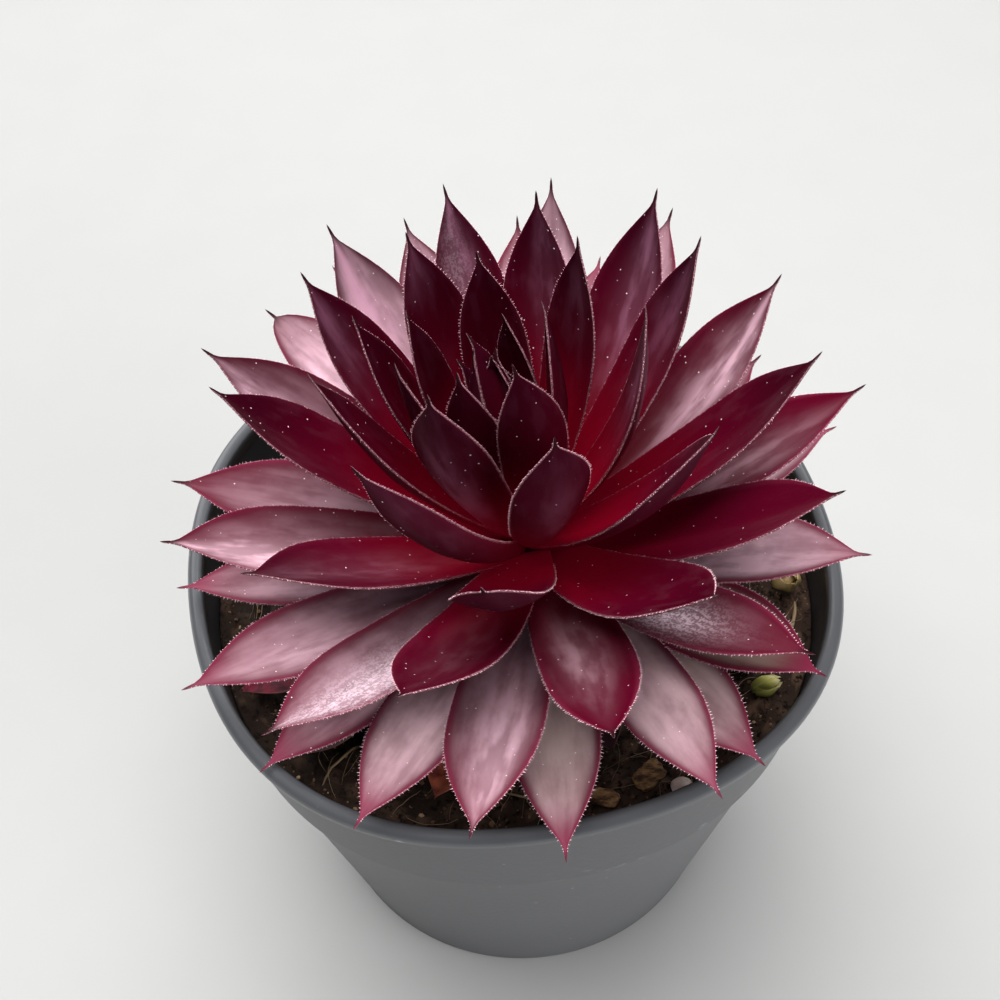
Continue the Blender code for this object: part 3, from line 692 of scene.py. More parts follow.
def inner_wall():
    """Corners of the pot's inner side, from its floor up to the lip."""
    floor_z = CHANNEL_DEPTH + FLOOR
    return [
        (BASE_RADIUS - WALL - 2 * FOOT_ROUND, floor_z, 1.0),
        (BASE_RADIUS - WALL, floor_z + 2 * FOOT_ROUND, 2.0),
        (COLLAR_RADIUS - COLLAR_STEP - WALL, COLLAR_Z, 0.6),
        (COLLAR_RADIUS - WALL, COLLAR_Z + COLLAR_STEP, 0.6),
        (COLLAR_TOP_RADIUS - WALL, POT_HEIGHT - LIP_DEPTH, 1.0),
    ]


def pot_profile():
    """The pot's section: out along the floor, up the inside, over the lip, down the outside, back under."""
    bead = LIP_WIDTH / 2
    lip_middle = (RIM_RADIUS - bead, POT_HEIGHT - bead)
    foot_middle = (BASE_RADIUS - FOOT_ROUND, FOOT_ROUND)
    middle = (0.0, CHANNEL_DEPTH + FLOOR, 0.0)
    inside = rounded([middle, *inner_wall(), *arc(lip_middle, bead, 180, 150, 2)])
    outside = rounded([
        *arc(lip_middle, bead, 135, -30, 14),
        (RIM_RADIUS - 0.3 * LIP_WIDTH, POT_HEIGHT - LIP_DEPTH, 0.4),
        (COLLAR_TOP_RADIUS, POT_HEIGHT - LIP_DEPTH, 0.3),
        (COLLAR_RADIUS, COLLAR_Z, 0.5),
        (COLLAR_RADIUS - COLLAR_STEP, COLLAR_Z - COLLAR_STEP, 0.5),
        *arc(foot_middle, FOOT_ROUND, 10, -90, 8),
        (CHANNEL_OUTER_RADIUS, 0.0, 0.3),
        (CHANNEL_OUTER_RADIUS - CHANNEL_DEPTH, CHANNEL_DEPTH, 0.3),
        (CHANNEL_INNER_RADIUS + CHANNEL_DEPTH, CHANNEL_DEPTH, 0.3),
        (CHANNEL_INNER_RADIUS, 0.0, 0.3),
        (0.0, 0.0, 0.0),
    ])
    return np.concatenate([inside, outside]), len(inside)


def drilled(mesh):
    """Cut the ring of drainage holes through the pot's base."""
    tool = bmesh.new()
    for number in range(DRAIN_COUNT):
        turn = 2 * math.pi * (number + 0.5) / DRAIN_COUNT
        place = np.array([DRAIN_RING_RADIUS * math.cos(turn), DRAIN_RING_RADIUS * math.sin(turn), FLOOR]) * MM
        radius = DRAIN_RADIUS * MM
        bmesh.ops.create_cone(tool, cap_ends=True, segments=32, radius1=radius, radius2=radius,
                              depth=4 * FLOOR * MM, matrix=Matrix.Translation(place))
    drill = added("drill", bpy.data.meshes.new("drill"))
    tool.to_mesh(drill.data)
    tool.free()
    blank = added("blank", mesh)
    cut = blank.modifiers.new("Drains", "BOOLEAN")
    cut.operation = "DIFFERENCE"
    cut.object = drill
    cut.solver = "EXACT"
    graph = bpy.context.evaluated_depsgraph_get()
    cut_blank = blank.evaluated_get(graph)
    result = bpy.data.meshes.new_from_object(cut_blank, preserve_all_data_layers=True, depsgraph=graph)
    for thing in (drill, blank):
        bpy.data.objects.remove(thing, do_unlink=True)
    return result


def make_pot():
    profile, inner_count = pot_profile()
    points, faces = turned(profile, POT_SIDES)
    inner_rings = inner_count - 1
    inside = np.zeros(len(points))
    inside[:inner_rings * POT_SIDES] = 1.0
    inside[-2] = 1.0
    points = squared_up(points) * np.array([POT_FIT, POT_FIT, 1.0])
    mesh = drilled(make_mesh("pot_body", points * MM, faces, {"inside": inside}))
    mesh.name = "pot_body"
    make_piece("pot_body", mesh, pot_finish(), "grey_plastic", "pot")


def scattered(draw, count, radius, least):
    """Places x and y strewn evenly over a disc; least is the share of its area left out in the middle."""
    reach = radius * np.sqrt(draw.uniform(least, 1.0, count))
    turn = draw.uniform(0, 2 * np.pi, count)
    return reach * np.cos(turn), reach * np.sin(turn)


def soil_lumps():
    """Place, height and width of the peat's lumps, drawn as in the part's own source."""
    draw = random.Random(SOIL_SEED)
    lumps = []
    for _ in range(SOIL_LUMPS):
        reach, turn = SOIL_LUMP_REACH * math.sqrt(draw.random()), draw.uniform(0, 2 * math.pi)
        size = SOIL_LUMP_HEIGHT * draw.uniform(-0.5, 1.0)
        width = SOIL_LUMP_WIDTH * draw.uniform(0.7, 1.3)
        lumps.append((reach * math.cos(turn), reach * math.sin(turn), size, width))
    return lumps


def peat_grains():
    """Place, radius and shade of the round grains that stand half out of the peat."""
    draw = np.random.default_rng(SEED + 1)
    x, y = scattered(draw, GRAIN_COUNT, GRAIN_REACH, 0.02)
    small, large = GRAIN_RADII
    radius = small + (large - small) * draw.uniform(0, 1, GRAIN_COUNT) ** 2.5
    shade = draw.uniform(0, 1, GRAIN_COUNT) ** 1.5
    return np.stack([x, y, radius, shade], axis=-1)


def peat_height(x, y, lumps, grains):
    """Height and shade of the peat: two slow waves, bell-shaped lumps, ripples and half-sunk round grains."""
    height = SOIL_Z + 0.7 * np.sin(x / 9 + 1.0) * np.cos(y / 11) + 0.4 * np.sin((x - y) / 5)
    for lump_x, lump_y, size, width in lumps:
        height = height + size * np.exp(-((x - lump_x) ** 2 + (y - lump_y) ** 2) / width ** 2)
    flat = np.stack([x, y, np.zeros_like(x)], axis=-1)
    height = height + 0.22 * ripples(flat, 1.3, SEED + 2)
    standing = np.zeros_like(x)
    shade = np.zeros_like(x)
    for grain_x, grain_y, radius, tone in grains:
        near = (np.abs(x - grain_x) < radius) & (np.abs(y - grain_y) < radius)
        apart = (x[near] - grain_x) ** 2 + (y[near] - grain_y) ** 2
        rise = np.sqrt(clamp(radius ** 2 - apart, 0.0, radius ** 2)) * 0.8 - 0.25 * radius
        higher = rise > standing[near]
        standing[near] = np.where(higher, rise, standing[near])
        shade[near] = np.where(higher, tone, shade[near])
    edge = smooth_step(np.hypot(x, y), 50.0, 55.5)
    return (height + standing) * (1 - edge) + (SOIL_EDGE_Z + 0.5 * standing) * edge, shade


def peat_body(ground):
    """The peat: rings with the crumbly top, then the pot's inner side less the gap, and a flat bottom."""
    low, high = inner_wall()[3:5]
    edge_radius = low[0] + (SOIL_EDGE_Z - low[1]) / (high[1] - low[1]) * (high[0] - low[0])
    share = np.linspace(0, 1, SOIL_RINGS) ** 0.85
    top = np.stack([edge_radius * share, np.full(SOIL_RINGS, SOIL_EDGE_Z)], axis=-1)
    side = np.array([corner[:2] for corner in reversed(inner_wall()[:4])])
    side[-1, 1] += GAP
    profile = np.concatenate([top, side, [[GAP, side[-1, 1]]]]) - np.array([GAP, 0.0])
    profile[0, 0] = 0.0
    points, faces = turned(profile, SOIL_SIDES)
    shade = np.zeros(len(points))
    inner = np.hypot(points[:, 0], points[:, 1]) < edge_radius - GAP - 0.05
    crumbly = (points[:, 2] == SOIL_EDGE_Z) & inner
    points[crumbly, 2], shade[crumbly] = ground(points[crumbly, 0], points[crumbly, 1])
    return make_mesh("peat_body", squared_up(points) * MM, faces, {"tone": shade})


def crumbs(ground):
    """Loose crumbs on the peat: flattened balls of twenty faces, each turned its own way."""
    draw = np.random.default_rng(SEED + 3)
    base, triangles = ball(1)
    x, y = scattered(draw, CRUMB_COUNT, CRUMB_REACH, 0.1)
    small, large = CRUMB_SIZES
    size = small + (large - small) * draw.uniform(0, 1, CRUMB_COUNT) ** 3
    height, _ = ground(x, y)
    stretch = size[:, None] * draw.uniform(0.45, 1.0, (CRUMB_COUNT, 3))
    shapes = base[None, :, :] * stretch[:, None, :] * draw.uniform(0.75, 1.15, (CRUMB_COUNT, len(base), 1))
    shapes = np.einsum("nij,npj->npi", random_turns(draw, CRUMB_COUNT), shapes)
    points = shapes + np.stack([x, y, height + 0.2 * size], axis=-1)[:, None, :]
    faces = triangles[None, :, :] + len(base) * np.arange(CRUMB_COUNT)[:, None, None]
    tone = np.repeat(draw.uniform(0, 1, CRUMB_COUNT) ** 1.6, len(base))
    points = squared_up(points.reshape(-1, 3))
    return make_mesh("peat_crumbs", points * MM, [faces.reshape(-1, 3)], {"tone": tone}, smooth=False)


def threads(name, ground, count, lengths, radius, rows, sides, seed):
    """Root fibres on the peat: arcs in plan, lifted along a half sine, tapered to both ends."""
    draw = np.random.default_rng(seed)
    share = np.linspace(0, 1, rows)
    length = draw.uniform(*lengths, count)[:, None]
    heading = draw.uniform(0, 2 * np.pi, count)[:, None] + draw.uniform(-1.3, 1.3, count)[:, None] * share
    step = length / (rows - 1)
    x, y = (
        start[:, None] + np.cumsum(way, axis=1) * step - length / 2 * way
        for start, way in zip(scattered(draw, count, THREAD_REACH, 0.15), (np.cos(heading), np.sin(heading)))
    )
    held = np.minimum(1.0, CRUMB_REACH / np.hypot(x, y))
    x, y = x * held, y * held
    height, _ = ground(x.ravel(), y.ravel())
    lift = draw.uniform(0.2, 1.6, count)[:, None] * np.sin(np.pi * share)
    line = np.stack([x, y, height.reshape(x.shape) + lift - 0.1], axis=-1)
    tangent = unit(np.gradient(line, axis=1))
    side = unit(np.cross(tangent, [0.0, 0.0, 1.0]))
    normal = np.cross(side, tangent)
    thick = radius * draw.uniform(0.6, 1.3, count)[:, None] * (0.25 + 0.75 * np.sin(np.pi * share) ** 0.4)
    round_way = 2 * np.pi * np.arange(sides)[:, None] / sides
    offset = side[:, :, None, :] * np.cos(round_way) + normal[:, :, None, :] * np.sin(round_way)
    points = line[:, :, None, :] + offset * thick[:, :, None, None]
    first = rows * sides * np.arange(count)[:, None, None]
    quads = (grid_faces(rows, sides)[None] + first).reshape(-1, 4)
    start_cap = (np.arange(sides)[None, None] + first).reshape(-1, sides)
    end_cap = start_cap[:, ::-1] + (rows - 1) * sides
    tone = np.repeat(draw.uniform(0, 1, count), rows * sides)
    points = squared_up(points.reshape(-1, 3))
    return make_mesh(name, points * MM, [quads, start_cap, end_cap], {"tone": tone})


def make_peat():
    ground = functools.partial(peat_height, lumps=soil_lumps(), grains=peat_grains())
    make_piece("peat_body", peat_body(ground), peat_finish(), "peat", "soil")
    make_piece("peat_crumbs", crumbs(ground), crumb_finish(), "peat")
    finish = fibre_finish()
    for name, sizes in (("peat_fibres", FIBRES), ("peat_straws", STRAWS)):
        make_piece(name, threads(name, ground, **sizes), finish, "peat")


def bark_chip(number, spec):
    """A flake of bark: a boxy ball with ridges along the grain and a stepped, split end."""
    points, faces = ball(5)
    boxy = np.sign(points) * np.abs(points) ** 0.6
    grain = ripples(boxy * np.array([0.5, 3.0, 4.0]), 1.0, SEED + 10 + number)
    broken = ripples(boxy, 0.45, SEED + 20 + number)
    boxy = boxy * (1 + 0.05 * grain + 0.07 * broken)[:, None]
    layers = boxy * np.array([3.0, 2.0, 1.1])
    return rotated(layers, turn=spec["turn"], tilt=spec["tilt"]), faces


def lay(node, kind, slot, finish, points, faces, values=None):
    """Put a loose piece where its CAD node lies."""
    make_piece(f"{node}_{kind}", make_mesh(node, fitted(points, node), faces, values), finish, slot, node)


def make_chips():
    finish = bark_finish()
    for number, spec in enumerate(CHIPS):
        points, faces = bark_chip(number, spec)
        lay(f"bark_chip_{number + 1}", "flake", "bark", finish, points, [faces])


def make_pebble():
    points, faces = ball(5)
    points = points * (1 + 0.045 * ripples(points, 0.7, SEED + 30))[:, None]
    lay("pebble", "grain", "stone", stone_finish(), points, [faces])


def bud_shape(spec):
    """A young offset: an egg-shaped heart in a whorl of cupped scales, with smaller ones at the tip."""
    length, width = spec["length"], spec["width"]
    heart, triangles = ball(4)
    heart = heart * np.array([0.5 * width, 0.5 * width, 0.4 * length])
    parts = [(heart, [triangles], dict(along=heart[:, 2] / length + 0.5, edge=np.zeros(len(heart))))]
    for number in range(BUD_SCALES):
        inner = max(number - 3, 0) / 4
        scale = dict(
            turn=17 + DIVERGENCE * number, rise=84.0 + 4 * inner, length=0.92 * length * (1 - 0.35 * inner),
            width=0.82 * width * (1 - 0.4 * inner), thick=0.3 * width * (1 - 0.5 * inner),
            out=0.16 * width * (1 - 0.5 * inner), up=(-0.44 + 0.05 * number + 0.2 * inner) * length,
            bow=-0.16, fold=0.35, edge=0.16, spine=0.08, crinkle=0.02, number=number,
            **dict(STRAIGHT, blunt=0.2),
        )
        points, faces, spread = tube_of(scale, 18)
        parts.append((points, faces, dict(along=spread["along"], edge=np.abs(spread["across"]))))
    points, faces, values = gathered(parts)
    values["ripe"] = np.full(len(points), spec["ripe"])
    return rotated(points, turn=spec["turn"], nod=90 - spec["rise"]), faces, values


def make_buds():
    finish = bud_finish()
    for number, spec in enumerate(BUDS, start=1):
        lay(f"offset_bud_{number}", "scales", "bud", finish, *bud_shape(spec))


def make_withered_leaves():
    """Old leaves as the part has them, with crinkled edges and a shrunken skin."""
    for number, (spec, colours) in enumerate(zip(WITHERED, WITHERED_COLOURS)):
        leaf = dict(
            spec, thick=WITHERED_THICKNESS, out=0.0, up=0.0, edge=0.25, spine=0.12, crinkle=0.12,
            number=number, **STRAIGHT,
        )
        points, faces, spread = tube_of(leaf, LEAF_ROWS)
        points[:, 2] += 0.22 * ripples(points, 1.6, SEED + 40 + number) * (1 - spread["across"] ** 2)
        values = dict(along=spread["along"], edge=np.abs(spread["across"]))
        finish = withered_finish(f"withered leaf {number + 1}", *colours)
        lay(f"withered_leaf_{number + 1}", "blade", "withered", finish, points, faces, values)


def tube_of(leaf, rows):
    """One closed leaf: its points, its quads and caps, and the points' shares along, across and under."""
    across, under = section_columns()
    columns = len(across)
    share = np.linspace(0, 1, rows)
    along = 1 - (1 - share) ** TIP_CROWDING
    along[-1] = LAST_ROW
    spots = leaf_points(leaf, along[:, None, None], across[None, :, None], under[None, :, None])
    foot = np.arange(columns)
    caps = []
    for ring, way in ((foot, 1), (foot + (rows - 1) * columns, -1)):
        fan = np.stack([np.full(columns - 2, ring[0]), ring[1:-1], ring[2:]], axis=-1)
        caps.append(fan[:, ::way])
    shares = dict(along=along[:, None], across=across, under=under)
    spread = {name: np.broadcast_to(values, (rows, columns)).ravel() for name, values in shares.items()}
    return spots.reshape(-1, 3), [grid_faces(rows, columns)[:, ::-1], np.concatenate(caps)], spread


def gathered(parts):
    """Join meshes given as (points, face arrays, point values) into one set of the same."""
    points, faces, values, first = [], [], {}, 0
    for own_points, own_faces, own_values in parts:
        points.append(own_points)
        faces.extend(face + first for face in own_faces)
        for name, value in own_values.items():
            values.setdefault(name, []).append(value)
        first += len(own_points)
    return np.concatenate(points), faces, {name: np.concatenate(pieces) for name, pieces in values.items()}


def leaf_blades(leaves):
    """One mesh of all leaves: closed tubes of rows and columns, with their finish as point values."""
    parts = []
    for leaf in leaves:
        points, faces, spread = tube_of(leaf, LEAF_ROWS)
        along, across, under = spread["along"], spread["across"], spread["under"]
        values = dict(along=along, edge=np.abs(across), under=under)
        for name in ("age", "bloom", "green"):
            values[name] = np.full(len(points), leaf[name])
        for name in ("scuff", "sheen"):
            strength, middle, aside, reach = leaf[name]
            apart = ((along - middle) / reach) ** 2 + ((across - aside) / PATCH_BREADTH) ** 2
            values[name] = strength * np.exp(-apart)
        half = leaf["width"] / 2 * half_width(along, leaf["blunt"])
        patch = LEAF_PATTERN_STEP * leaf["number"] + SIDE_PATTERN_STEP * under
        values["skin"] = np.stack([along * leaf["length"], across * half, patch], axis=-1)
        parts.append((place_leaf(points), faces, values))
    return make_mesh("leaf_blades", *gathered(parts))


def crown_core():
    """The short stem that the leaves grow from: a round profile turned about the crown's own axis."""
    profile = rounded([(radius, height, 1.5) for radius, height in CORE_PROFILE])
    points, faces = turned(profile, 48)
    return make_mesh("crown_core", place_leaf(points), faces)


def fringe(leaves):
    """Hairs on every leaf's two edges: slim pointed tetrahedra that lean towards the tip."""
    draw = np.random.default_rng(SEED)
    roots, heads, sides, ages = [], [], [], []
    for leaf in leaves:
        _, forward, side, upper = leaf_frame(leaf)
        count = int(leaf["length"] * FRINGE_SPAN / HAIR_SPACING)
        for edge in (-1.0, 1.0):
            along = FRINGE_FROM + FRINGE_SPAN * (np.arange(count) + draw.uniform(0.2, 0.8, count)) / count
            root = leaf_points(leaf, along[:, None], edge * 0.985, 0.4)
            size = HAIR_LENGTH * draw.uniform(0.6, 1.25, count) * (1.1 - 0.35 * leaf["age"])
            size = size * (1 - 0.5 * smooth_step(along, 0.8, 0.97))
            lean = draw.uniform(0.2, 0.7, count)[:, None]
            tilt = draw.uniform(-0.35, 0.45, count)[:, None]
            roots.append(root)
            heads.append(root + unit(side * edge + forward * lean + upper * tilt) * size[:, None])
            sides.append(np.broadcast_to(forward, root.shape))
            ages.append(np.full(count, leaf["age"]))
    root, head, forward, age = (np.concatenate(pieces) for pieces in (roots, heads, sides, ages))
    radius = (HAIR_RADIUS * (1.0 - 0.35 * age))[:, None]
    across = unit(np.cross(head - root, forward)) * radius * 0.87
    lengthways = forward * radius
    behind = root - 0.5 * lengthways
    points = np.stack([root + lengthways, behind + across, behind - across, head], axis=1).reshape(-1, 3)
    start = 4 * np.arange(len(root))[:, None]
    faces = np.concatenate([start + np.array(face) for face in ((0, 1, 3), (1, 2, 3), (2, 0, 3), (0, 2, 1))])
    return make_mesh("leaf_fringe", place_leaf(points), [faces], {"age": np.repeat(age, 4)}, smooth=False)


def leaf_finish():
    """Waxy skin: wine red under a patchy bloom that is partly painted light, with painted lilac highlights,
    pale scuffed spots that are partly painted highlight, a painted red light at the foot for light shining
    through, a crimson edge and a brown tip.
    """
    skin = Finish("houseleek leaf", Specular_IOR_Level=0.02, Coat_Roughness=0.3, Coat_IOR=1.5,
                  Emission_Strength=1.0)
    along, edge, under, age = skin.attributes("along edge under age")
    bloom, green, scuff, sheen = skin.attributes("bloom green scuff sheen")
    place = skin.attribute("skin", output="Vector")
    mottle = skin.noise(place, 0.16)
    blotch = skin.noise(skin.stretched(place, (0.4, 1.0, 1.0)), 0.38, roughness=0.5)
    grain = skin.noise(skin.stretched(place, (0.5, 1.5, 1.0)), 1.0, roughness=0.6)
    fine = skin.noise(place, 2.4, detail=2.0, roughness=0.7)
    band = skin.noise(skin.stretched(place, (0.1, 0.6, 1.0)), 0.55, detail=2.0, roughness=0.5)
    cloud = skin.step(mottle * 0.3 + band * 0.4 + blotch * 0.2 + grain * 0.1, 0.38, 0.62)
    youth = skin.step(age, 0.42, 0.78)
    centre = skin.step(edge, 1.0, 0.55)
    darker_end = skin.step(along, 0.48, 0.92) * skin.step(age, 0.3, 0.58)
    # Painted light: red at the feet of the middle leaves, as if light shone through them
    painted_glow = skin.step(along, 0.65, 0.1) * skin.step(age, 0.28, 0.56) * (1 - under * (1 - 0.9 * youth))
    faded_end = 0.2 + 0.8 * skin.step(along, 1.0, 0.6)
    # Bloom, reaching down to the feet as painted light where the leaves above shade them
    bloom_and_painted_light = bloom * (0.5 + 0.6 * cloud) * (0.1 + 0.9 * centre) * skin.step(along, -0.05, 0.3) * faded_end
    mossy = green * centre * skin.step(along, 0.98, 0.6) * (0.6 + 0.4 * cloud)
    # Painted reflections: faint lilac patches near the tips of the middle leaves
    painted_glints = 0.012 * skin.step(blotch, 0.48, 0.66) * skin.step(along, 0.3, 0.7) * skin.step(age, 0.38, 0.5)
    streaks = 0.35 + 0.65 * skin.step(band * 0.5 + blotch * 0.5, 0.4, 0.6)
    # Painted highlights: lilac or mauve patches, on both faces of the young leaves
    painted_shine = (sheen * streaks + painted_glints) * (1 - under * (1 - youth))
    rim = skin.step(edge, 0.8, 0.98) * (1 - 0.85 * skin.step(age, 0.25, 0.5)) * (1 - 0.5 * under)
    # Pale worn skin, partly a painted highlight
    worn = scuff * (0.3 + 0.7 * skin.step(fine * 0.5 + grain * 0.5, 0.46, 0.56)) * (1 - under)
    margin = skin.step(edge, 0.97, 0.998) * skin.step(skin.noise(place, 1.7, detail=1.0), 0.47, 0.56)
    dust = skin.spots(place, 0.62, 0.1) * skin.step(skin.noise(place, 0.5), 0.49, 0.55)
    flesh = skin.layered(
        WINE,
        (DEEP_WINE, youth * 0.85),
        (DARK_TIP, darker_end * 0.9),
        (PAINTED_GLOW_RED, painted_glow * 0.75),
        (UNDERSIDE, under * (0.85 - 0.75 * youth)),
        (MAUVE_BLOOM_AND_SHEEN, bloom_and_painted_light * (1 - 0.4 * under)),
        (GREEN_GREY, mossy * (1 - under)),
        (skin.mix(MAUVE_BLOOM_AND_SHEEN, LILAC_PAINTED_SHEEN, skin.step(age, 0.42, 0.62)), painted_shine),
        (EDGE_CRIMSON, rim * 0.7),
        (WORN_SKIN_AND_HIGHLIGHT, worn * 0.8),
        (TIP_BROWN, skin.step(along, 0.93, 0.98) * skin.step(age, 0.15, 0.3)),
        (EDGE_CRIMSON, skin.step(along, 0.82, 0.97) * skin.step(age, 0.3, 0.15) * 0.85),
        (TIP_BROWN, skin.step(along, 0.96, 0.99) * 0.55),
        (MARGIN_PINK, margin * 0.45),
        (DUST_PINK, dust * 0.9),
    )
    wax = skin.step(bloom, 0.05, 0.7) * (0.15 + 0.3 * centre) + 0.35 * worn + 0.2 * sheen + 0.01
    # The painted emission at the feet lights nothing around it
    skin.material.cycles.emission_sampling = "NONE"
    return skin.wear(
        Base_Color=flesh,
        Roughness=0.33 + 0.1 * cloud + 0.15 * worn,
        Coat_Weight=wax,
        Emission_Color=skin.mix(BLACK, PAINTED_GLOW_EMISSION, painted_glow * skin.step(along, 0.0, 0.12)),
        Normal=skin.bump(blotch + 0.35 * grain + 0.5 * worn, 0.2, 0.0006),
    )


def fringe_finish():
    """Pale pink hairs, redder on the younger leaves."""
    hair = Finish("leaf fringe hair", Roughness=0.5)
    return hair.wear(Base_Color=hair.mix(HAIR_PINK, HAIR_ROSE, hair.attribute("age")))


def core_finish():
    """Skin of the crown between the leaves' feet."""
    core = Finish("crown core", Roughness=0.6)
    return core.wear(Base_Color=core.mix(DEEP_WINE, CORE_BROWN, core.noise(core.place(), 400.0)))


def pot_finish():
    """Satin grey plastic, near black inside, with rubbed marks under the lip and on the collar."""
    plastic = Finish("grey moulded plastic", Specular_IOR_Level=0.4, Coat_Roughness=0.14)
    place = plastic.place()
    across, ahead, height = (plastic.axis(place, letter) for letter in "XYZ")
    cloud = plastic.noise(place, 45.0, detail=4.0)
    fine = plastic.noise(place, 900.0, detail=2.0)
    lip = plastic.step(height, 0.0863, 0.0872)
    collar = plastic.step(height, 0.0645, 0.0668) * (1 - lip)
    scratches = plastic.noise(plastic.stretched(place, (1.0, 1.0, 2.4)), 330.0, detail=6.0)
    under_lip = plastic.step(height, 0.0835, 0.0858) * plastic.step(height, 0.0872, 0.0862)
    at_step = plastic.step(height, 0.064, 0.066) * plastic.step(height, 0.072, 0.067)
    right_side = plastic.step(across, -0.01, 0.03) * plastic.step(ahead, 0.01, -0.02)
    rubbed = under_lip * (0.2 + 0.8 * right_side) + 0.4 * at_step * right_side
    marks = 0.55 * plastic.step(scratches, 0.56, 0.66) * rubbed
    nick = plastic.node("ShaderNodeVectorMath", {0: place, 1: LIP_NICK}, output="Value", operation="DISTANCE")
    dust = plastic.spots(place, 260.0, 0.09) * plastic.step(plastic.noise(place, 60.0), 0.5, 0.6)
    shade = plastic.layered(
        GREY_DARK,
        (GREY_LIGHT, cloud),
        (GREY_LIP, lip * 0.9),
        (GREY_COLLAR, collar * 0.5),
        (GREY_RUBBED, marks),
        (GREY_NICK, plastic.step(nick, 0.0016, 0.0006)),
        (GREY_DUST, dust * 0.35),
        (GREY_INSIDE, plastic.attribute("inside") * 0.9),
    )
    return plastic.wear(
        Base_Color=shade,
        Roughness=0.4 + 0.08 * cloud + 0.25 * marks + 0.04 * fine,
        Coat_Weight=lip * 0.6,
        Normal=plastic.bump(fine + 0.6 * marks, 0.12, 0.0003),
    )


def peat_finish():
    """Damp peat: black-brown ground, browner grains and tan specks, darker towards the left."""
    peat = Finish("dark peat", Specular_IOR_Level=0.25)
    place = peat.place()
    crumbly = peat.noise(place, 900.0, detail=6.0, roughness=0.7)
    patch = peat.noise(place, 110.0)
    shade = peat.layered(
        PEAT_DARK,
        (PEAT_BROWN, peat.attribute("tone") * 0.7 + 0.5 * patch - 0.15),
        (PEAT_BLACK, peat.step(crumbly, 0.5, 0.36)),
        # Darker towards the left
        (PEAT_LEFT_DARKER, peat.step(peat.axis(place, "X"), 0.012, -0.03) * 0.6),
        (PEAT_FLECK, peat.spots(place, 650.0, 0.16) * peat.step(patch, 0.45, 0.6) * 0.6),
    )
    return peat.wear(Base_Color=shade, Roughness=0.75 + 0.2 * crumbly, Normal=peat.bump(crumbly, 0.6, 0.0006))


def crumb_finish():
    """Crumbs from black-brown to tan."""
    crumb = Finish("peat crumbs", Specular_IOR_Level=0.25)
    tone = crumb.attribute("tone")
    shade = crumb.layered(
        CRUMB_DARK, (CRUMB_BROWN, crumb.step(tone, 0.0, 0.75)), (CRUMB_TAN, crumb.step(tone, 0.86, 0.98)))
    return crumb.wear(Base_Color=shade, Roughness=0.8 + 0.15 * crumb.noise(crumb.place(), 1500.0))


def fibre_finish():
    """Dry root fibres, brown to straw."""
    fibre = Finish("root fibre", Specular_IOR_Level=0.3)
    streak = fibre.noise(fibre.place(), 800.0)
    shade = fibre.mix(FIBRE_BROWN, FIBRE_STRAW, fibre.attribute("tone") * 0.75 + 0.25 * streak)
    return fibre.wear(Base_Color=shade, Roughness=0.6 + 0.2 * streak)


def bark_finish():
    """Rusty bark with dark cracks and paler worn ridges."""
    bark = Finish("bark chip", Specular_IOR_Level=0.3)
    grain = bark.noise(bark.stretched(bark.place(), (1.0, 3.0, 3.0)), 300.0, detail=6.0, roughness=0.7)
    shade = bark.layered(
        BARK_DARK, (BARK_RUST, bark.step(grain, 0.36, 0.62)), (BARK_WORN, bark.step(grain, 0.58, 0.7)))
    return bark.wear(Base_Color=shade, Roughness=0.7 + 0.2 * grain, Normal=bark.bump(grain, 0.7, 0.0006))


def stone_finish():
    """Pale pinkish grit."""
    stone = Finish("pale stone", Specular_IOR_Level=0.4)
    cloud = stone.noise(stone.place(), 450.0, detail=5.0)
    shade = stone.mix(STONE_PINK, STONE_PALE, stone.step(cloud, 0.35, 0.65))
    return stone.wear(Base_Color=shade, Roughness=0.5 + 0.25 * cloud, Normal=stone.bump(cloud, 0.3, 0.0004))


def bud_finish():
    """Yellow-green scales with pale tips and edges, tan on the ripe ones."""
    bud = Finish("offset bud", Specular_IOR_Level=0.4)
    along, edge, ripe = bud.attributes("along edge ripe")
    cloud = bud.noise(bud.place(), 500.0)
    shade = bud.layered(
        BUD_GREEN,
        (BUD_YELLOW, bud.step(along + 0.3 * cloud, 0.2, 0.9)),
        (BUD_TIP, bud.step(along, 0.62, 0.98) * 0.8),
        (BUD_TAN, ripe * bud.step(along, 0.35, 0.8) * 0.8),
        (BUD_EDGE, bud.step(edge, 0.8, 1.0) * 0.4),
    )
    return bud.wear(Base_Color=shade, Roughness=0.42 + 0.15 * cloud)


def withered_finish(name, light, dark):
    """Dry skin in two colours of its own, darker in the wrinkles and paler at the edge."""
    dry = Finish(name, Specular_IOR_Level=0.35)
    wrinkle = dry.noise(dry.stretched(dry.place(), (1.0, 1.0, 0.6)), 420.0, detail=5.0, roughness=0.65)
    edge = dry.step(dry.attribute("edge"), 0.9, 1.0)
    shade = dry.layered(dark, (light, dry.step(wrinkle, 0.36, 0.62)), (DRY_EDGE, edge * 0.3))
    return dry.wear(Base_Color=shade, Roughness=0.45 + 0.25 * wrinkle, Normal=dry.bump(wrinkle, 0.6, 0.0005))


def make_rosette():
    leaves = grown_leaves()
    make_piece("leaf_blades", leaf_blades(leaves), leaf_finish(), "leaf", "rosette")
    make_piece("leaf_fringe", fringe(leaves), fringe_finish(), "leaf")
    make_piece("crown_core", crown_core(), core_finish(), "leaf")


def set_up(name, data, place, right, up, back):
    """Put a camera or a light into the scene at a place, with its own X, Y and Z along three directions."""
    thing = added(name, data)
    thing.matrix_world = Matrix([*np.transpose([right, up, back, place]), (0.0, 0.0, 0.0, 1.0)])
    return thing


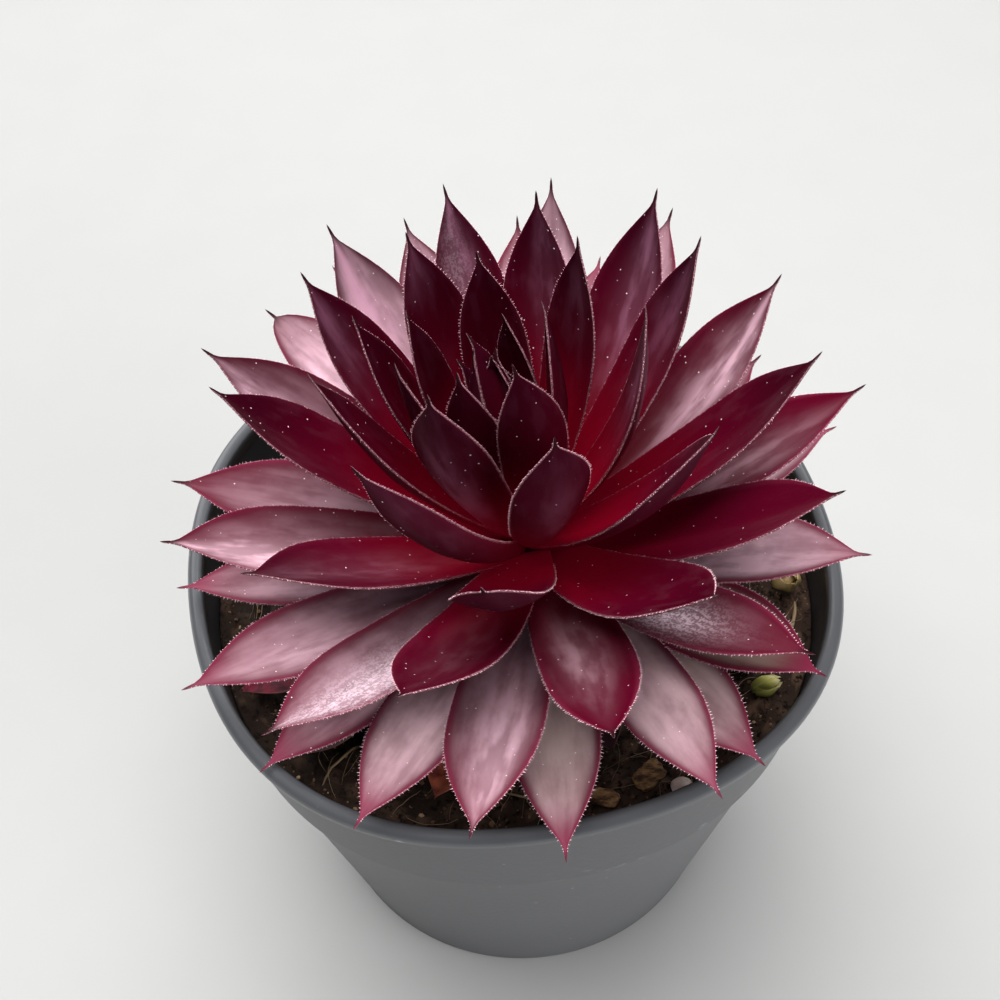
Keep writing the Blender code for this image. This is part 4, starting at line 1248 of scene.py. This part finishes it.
def make_camera():
    """The camera looks along +Y, pitched down, turned and rolled a little."""
    data = bpy.data.cameras.new("photo camera")
    data.lens = CAMERA_LENS
    data.sensor_width = 36.0
    data.clip_start = 0.01
    pitch, yaw, roll = (math.radians(angle) for angle in (CAMERA_PITCH, CAMERA_YAW, CAMERA_ROLL))
    look = np.array([math.sin(yaw) * math.cos(pitch), math.cos(yaw) * math.cos(pitch), -math.sin(pitch)])
    level = np.array([math.cos(yaw), -math.sin(yaw), 0.0])
    above = np.cross(level, look)
    right = level * math.cos(roll) + above * math.sin(roll)
    up = above * math.cos(roll) - level * math.sin(roll)
    bpy.context.scene.camera = set_up("photo camera", data, CAMERA_PLACE, right, up, -look)


def soft_light(name, place, aim, size, power, mirrored):
    """A soft box turned to its aim; one that isn't mirrored gives no gloss, as a far wall does."""
    data = bpy.data.lights.new(name, "AREA")
    data.shape = "RECTANGLE"
    data.size, data.size_y = size
    data.energy = power
    back = unit(np.subtract(place, aim))
    right = unit(np.cross([0.0, 0.0, 1.0], back))
    light = set_up(name, data, place, right, np.cross(back, right), back)
    light.visible_camera = False
    light.visible_glossy = mirrored


def make_studio():
    """A pale floor, a bright sky and back light, and a dim front fill."""
    corners = np.array([[-1.0, -1.0, 0.0], [1.0, -1.0, 0.0], [1.0, 1.0, 0.0], [-1.0, 1.0, 0.0]])
    mesh = make_mesh("studio_floor", FLOOR_SIZE / 2 * corners, [np.array([[0, 1, 2, 3]])], smooth=False)
    paper = Finish("pale studio floor", Roughness=0.8)
    grain = paper.noise(paper.place(), 40.0, detail=2.0)
    mesh.materials.append(paper.wear(Base_Color=paper.mix(*FLOOR_SHADES, grain)))
    added("studio_floor", mesh)
    world = bpy.data.worlds.new("soft daylight")
    world.use_nodes = True
    background = world.node_tree.nodes["Background"].inputs
    background["Color"].default_value = (*SKY_COLOUR, 1.0)
    background["Strength"].default_value = SKY_STRENGTH
    bpy.context.scene.world = world
    world.cycles_visibility.glossy = False
    bpy.context.scene.view_settings.view_transform = "Standard"
    for name, settings in SOFT_BOXES.items():
        soft_light(name, **settings)


make_camera()
make_studio()
make_pot()
make_peat()
make_chips()
make_pebble()
make_buds()
make_withered_leaves()
make_rosette()
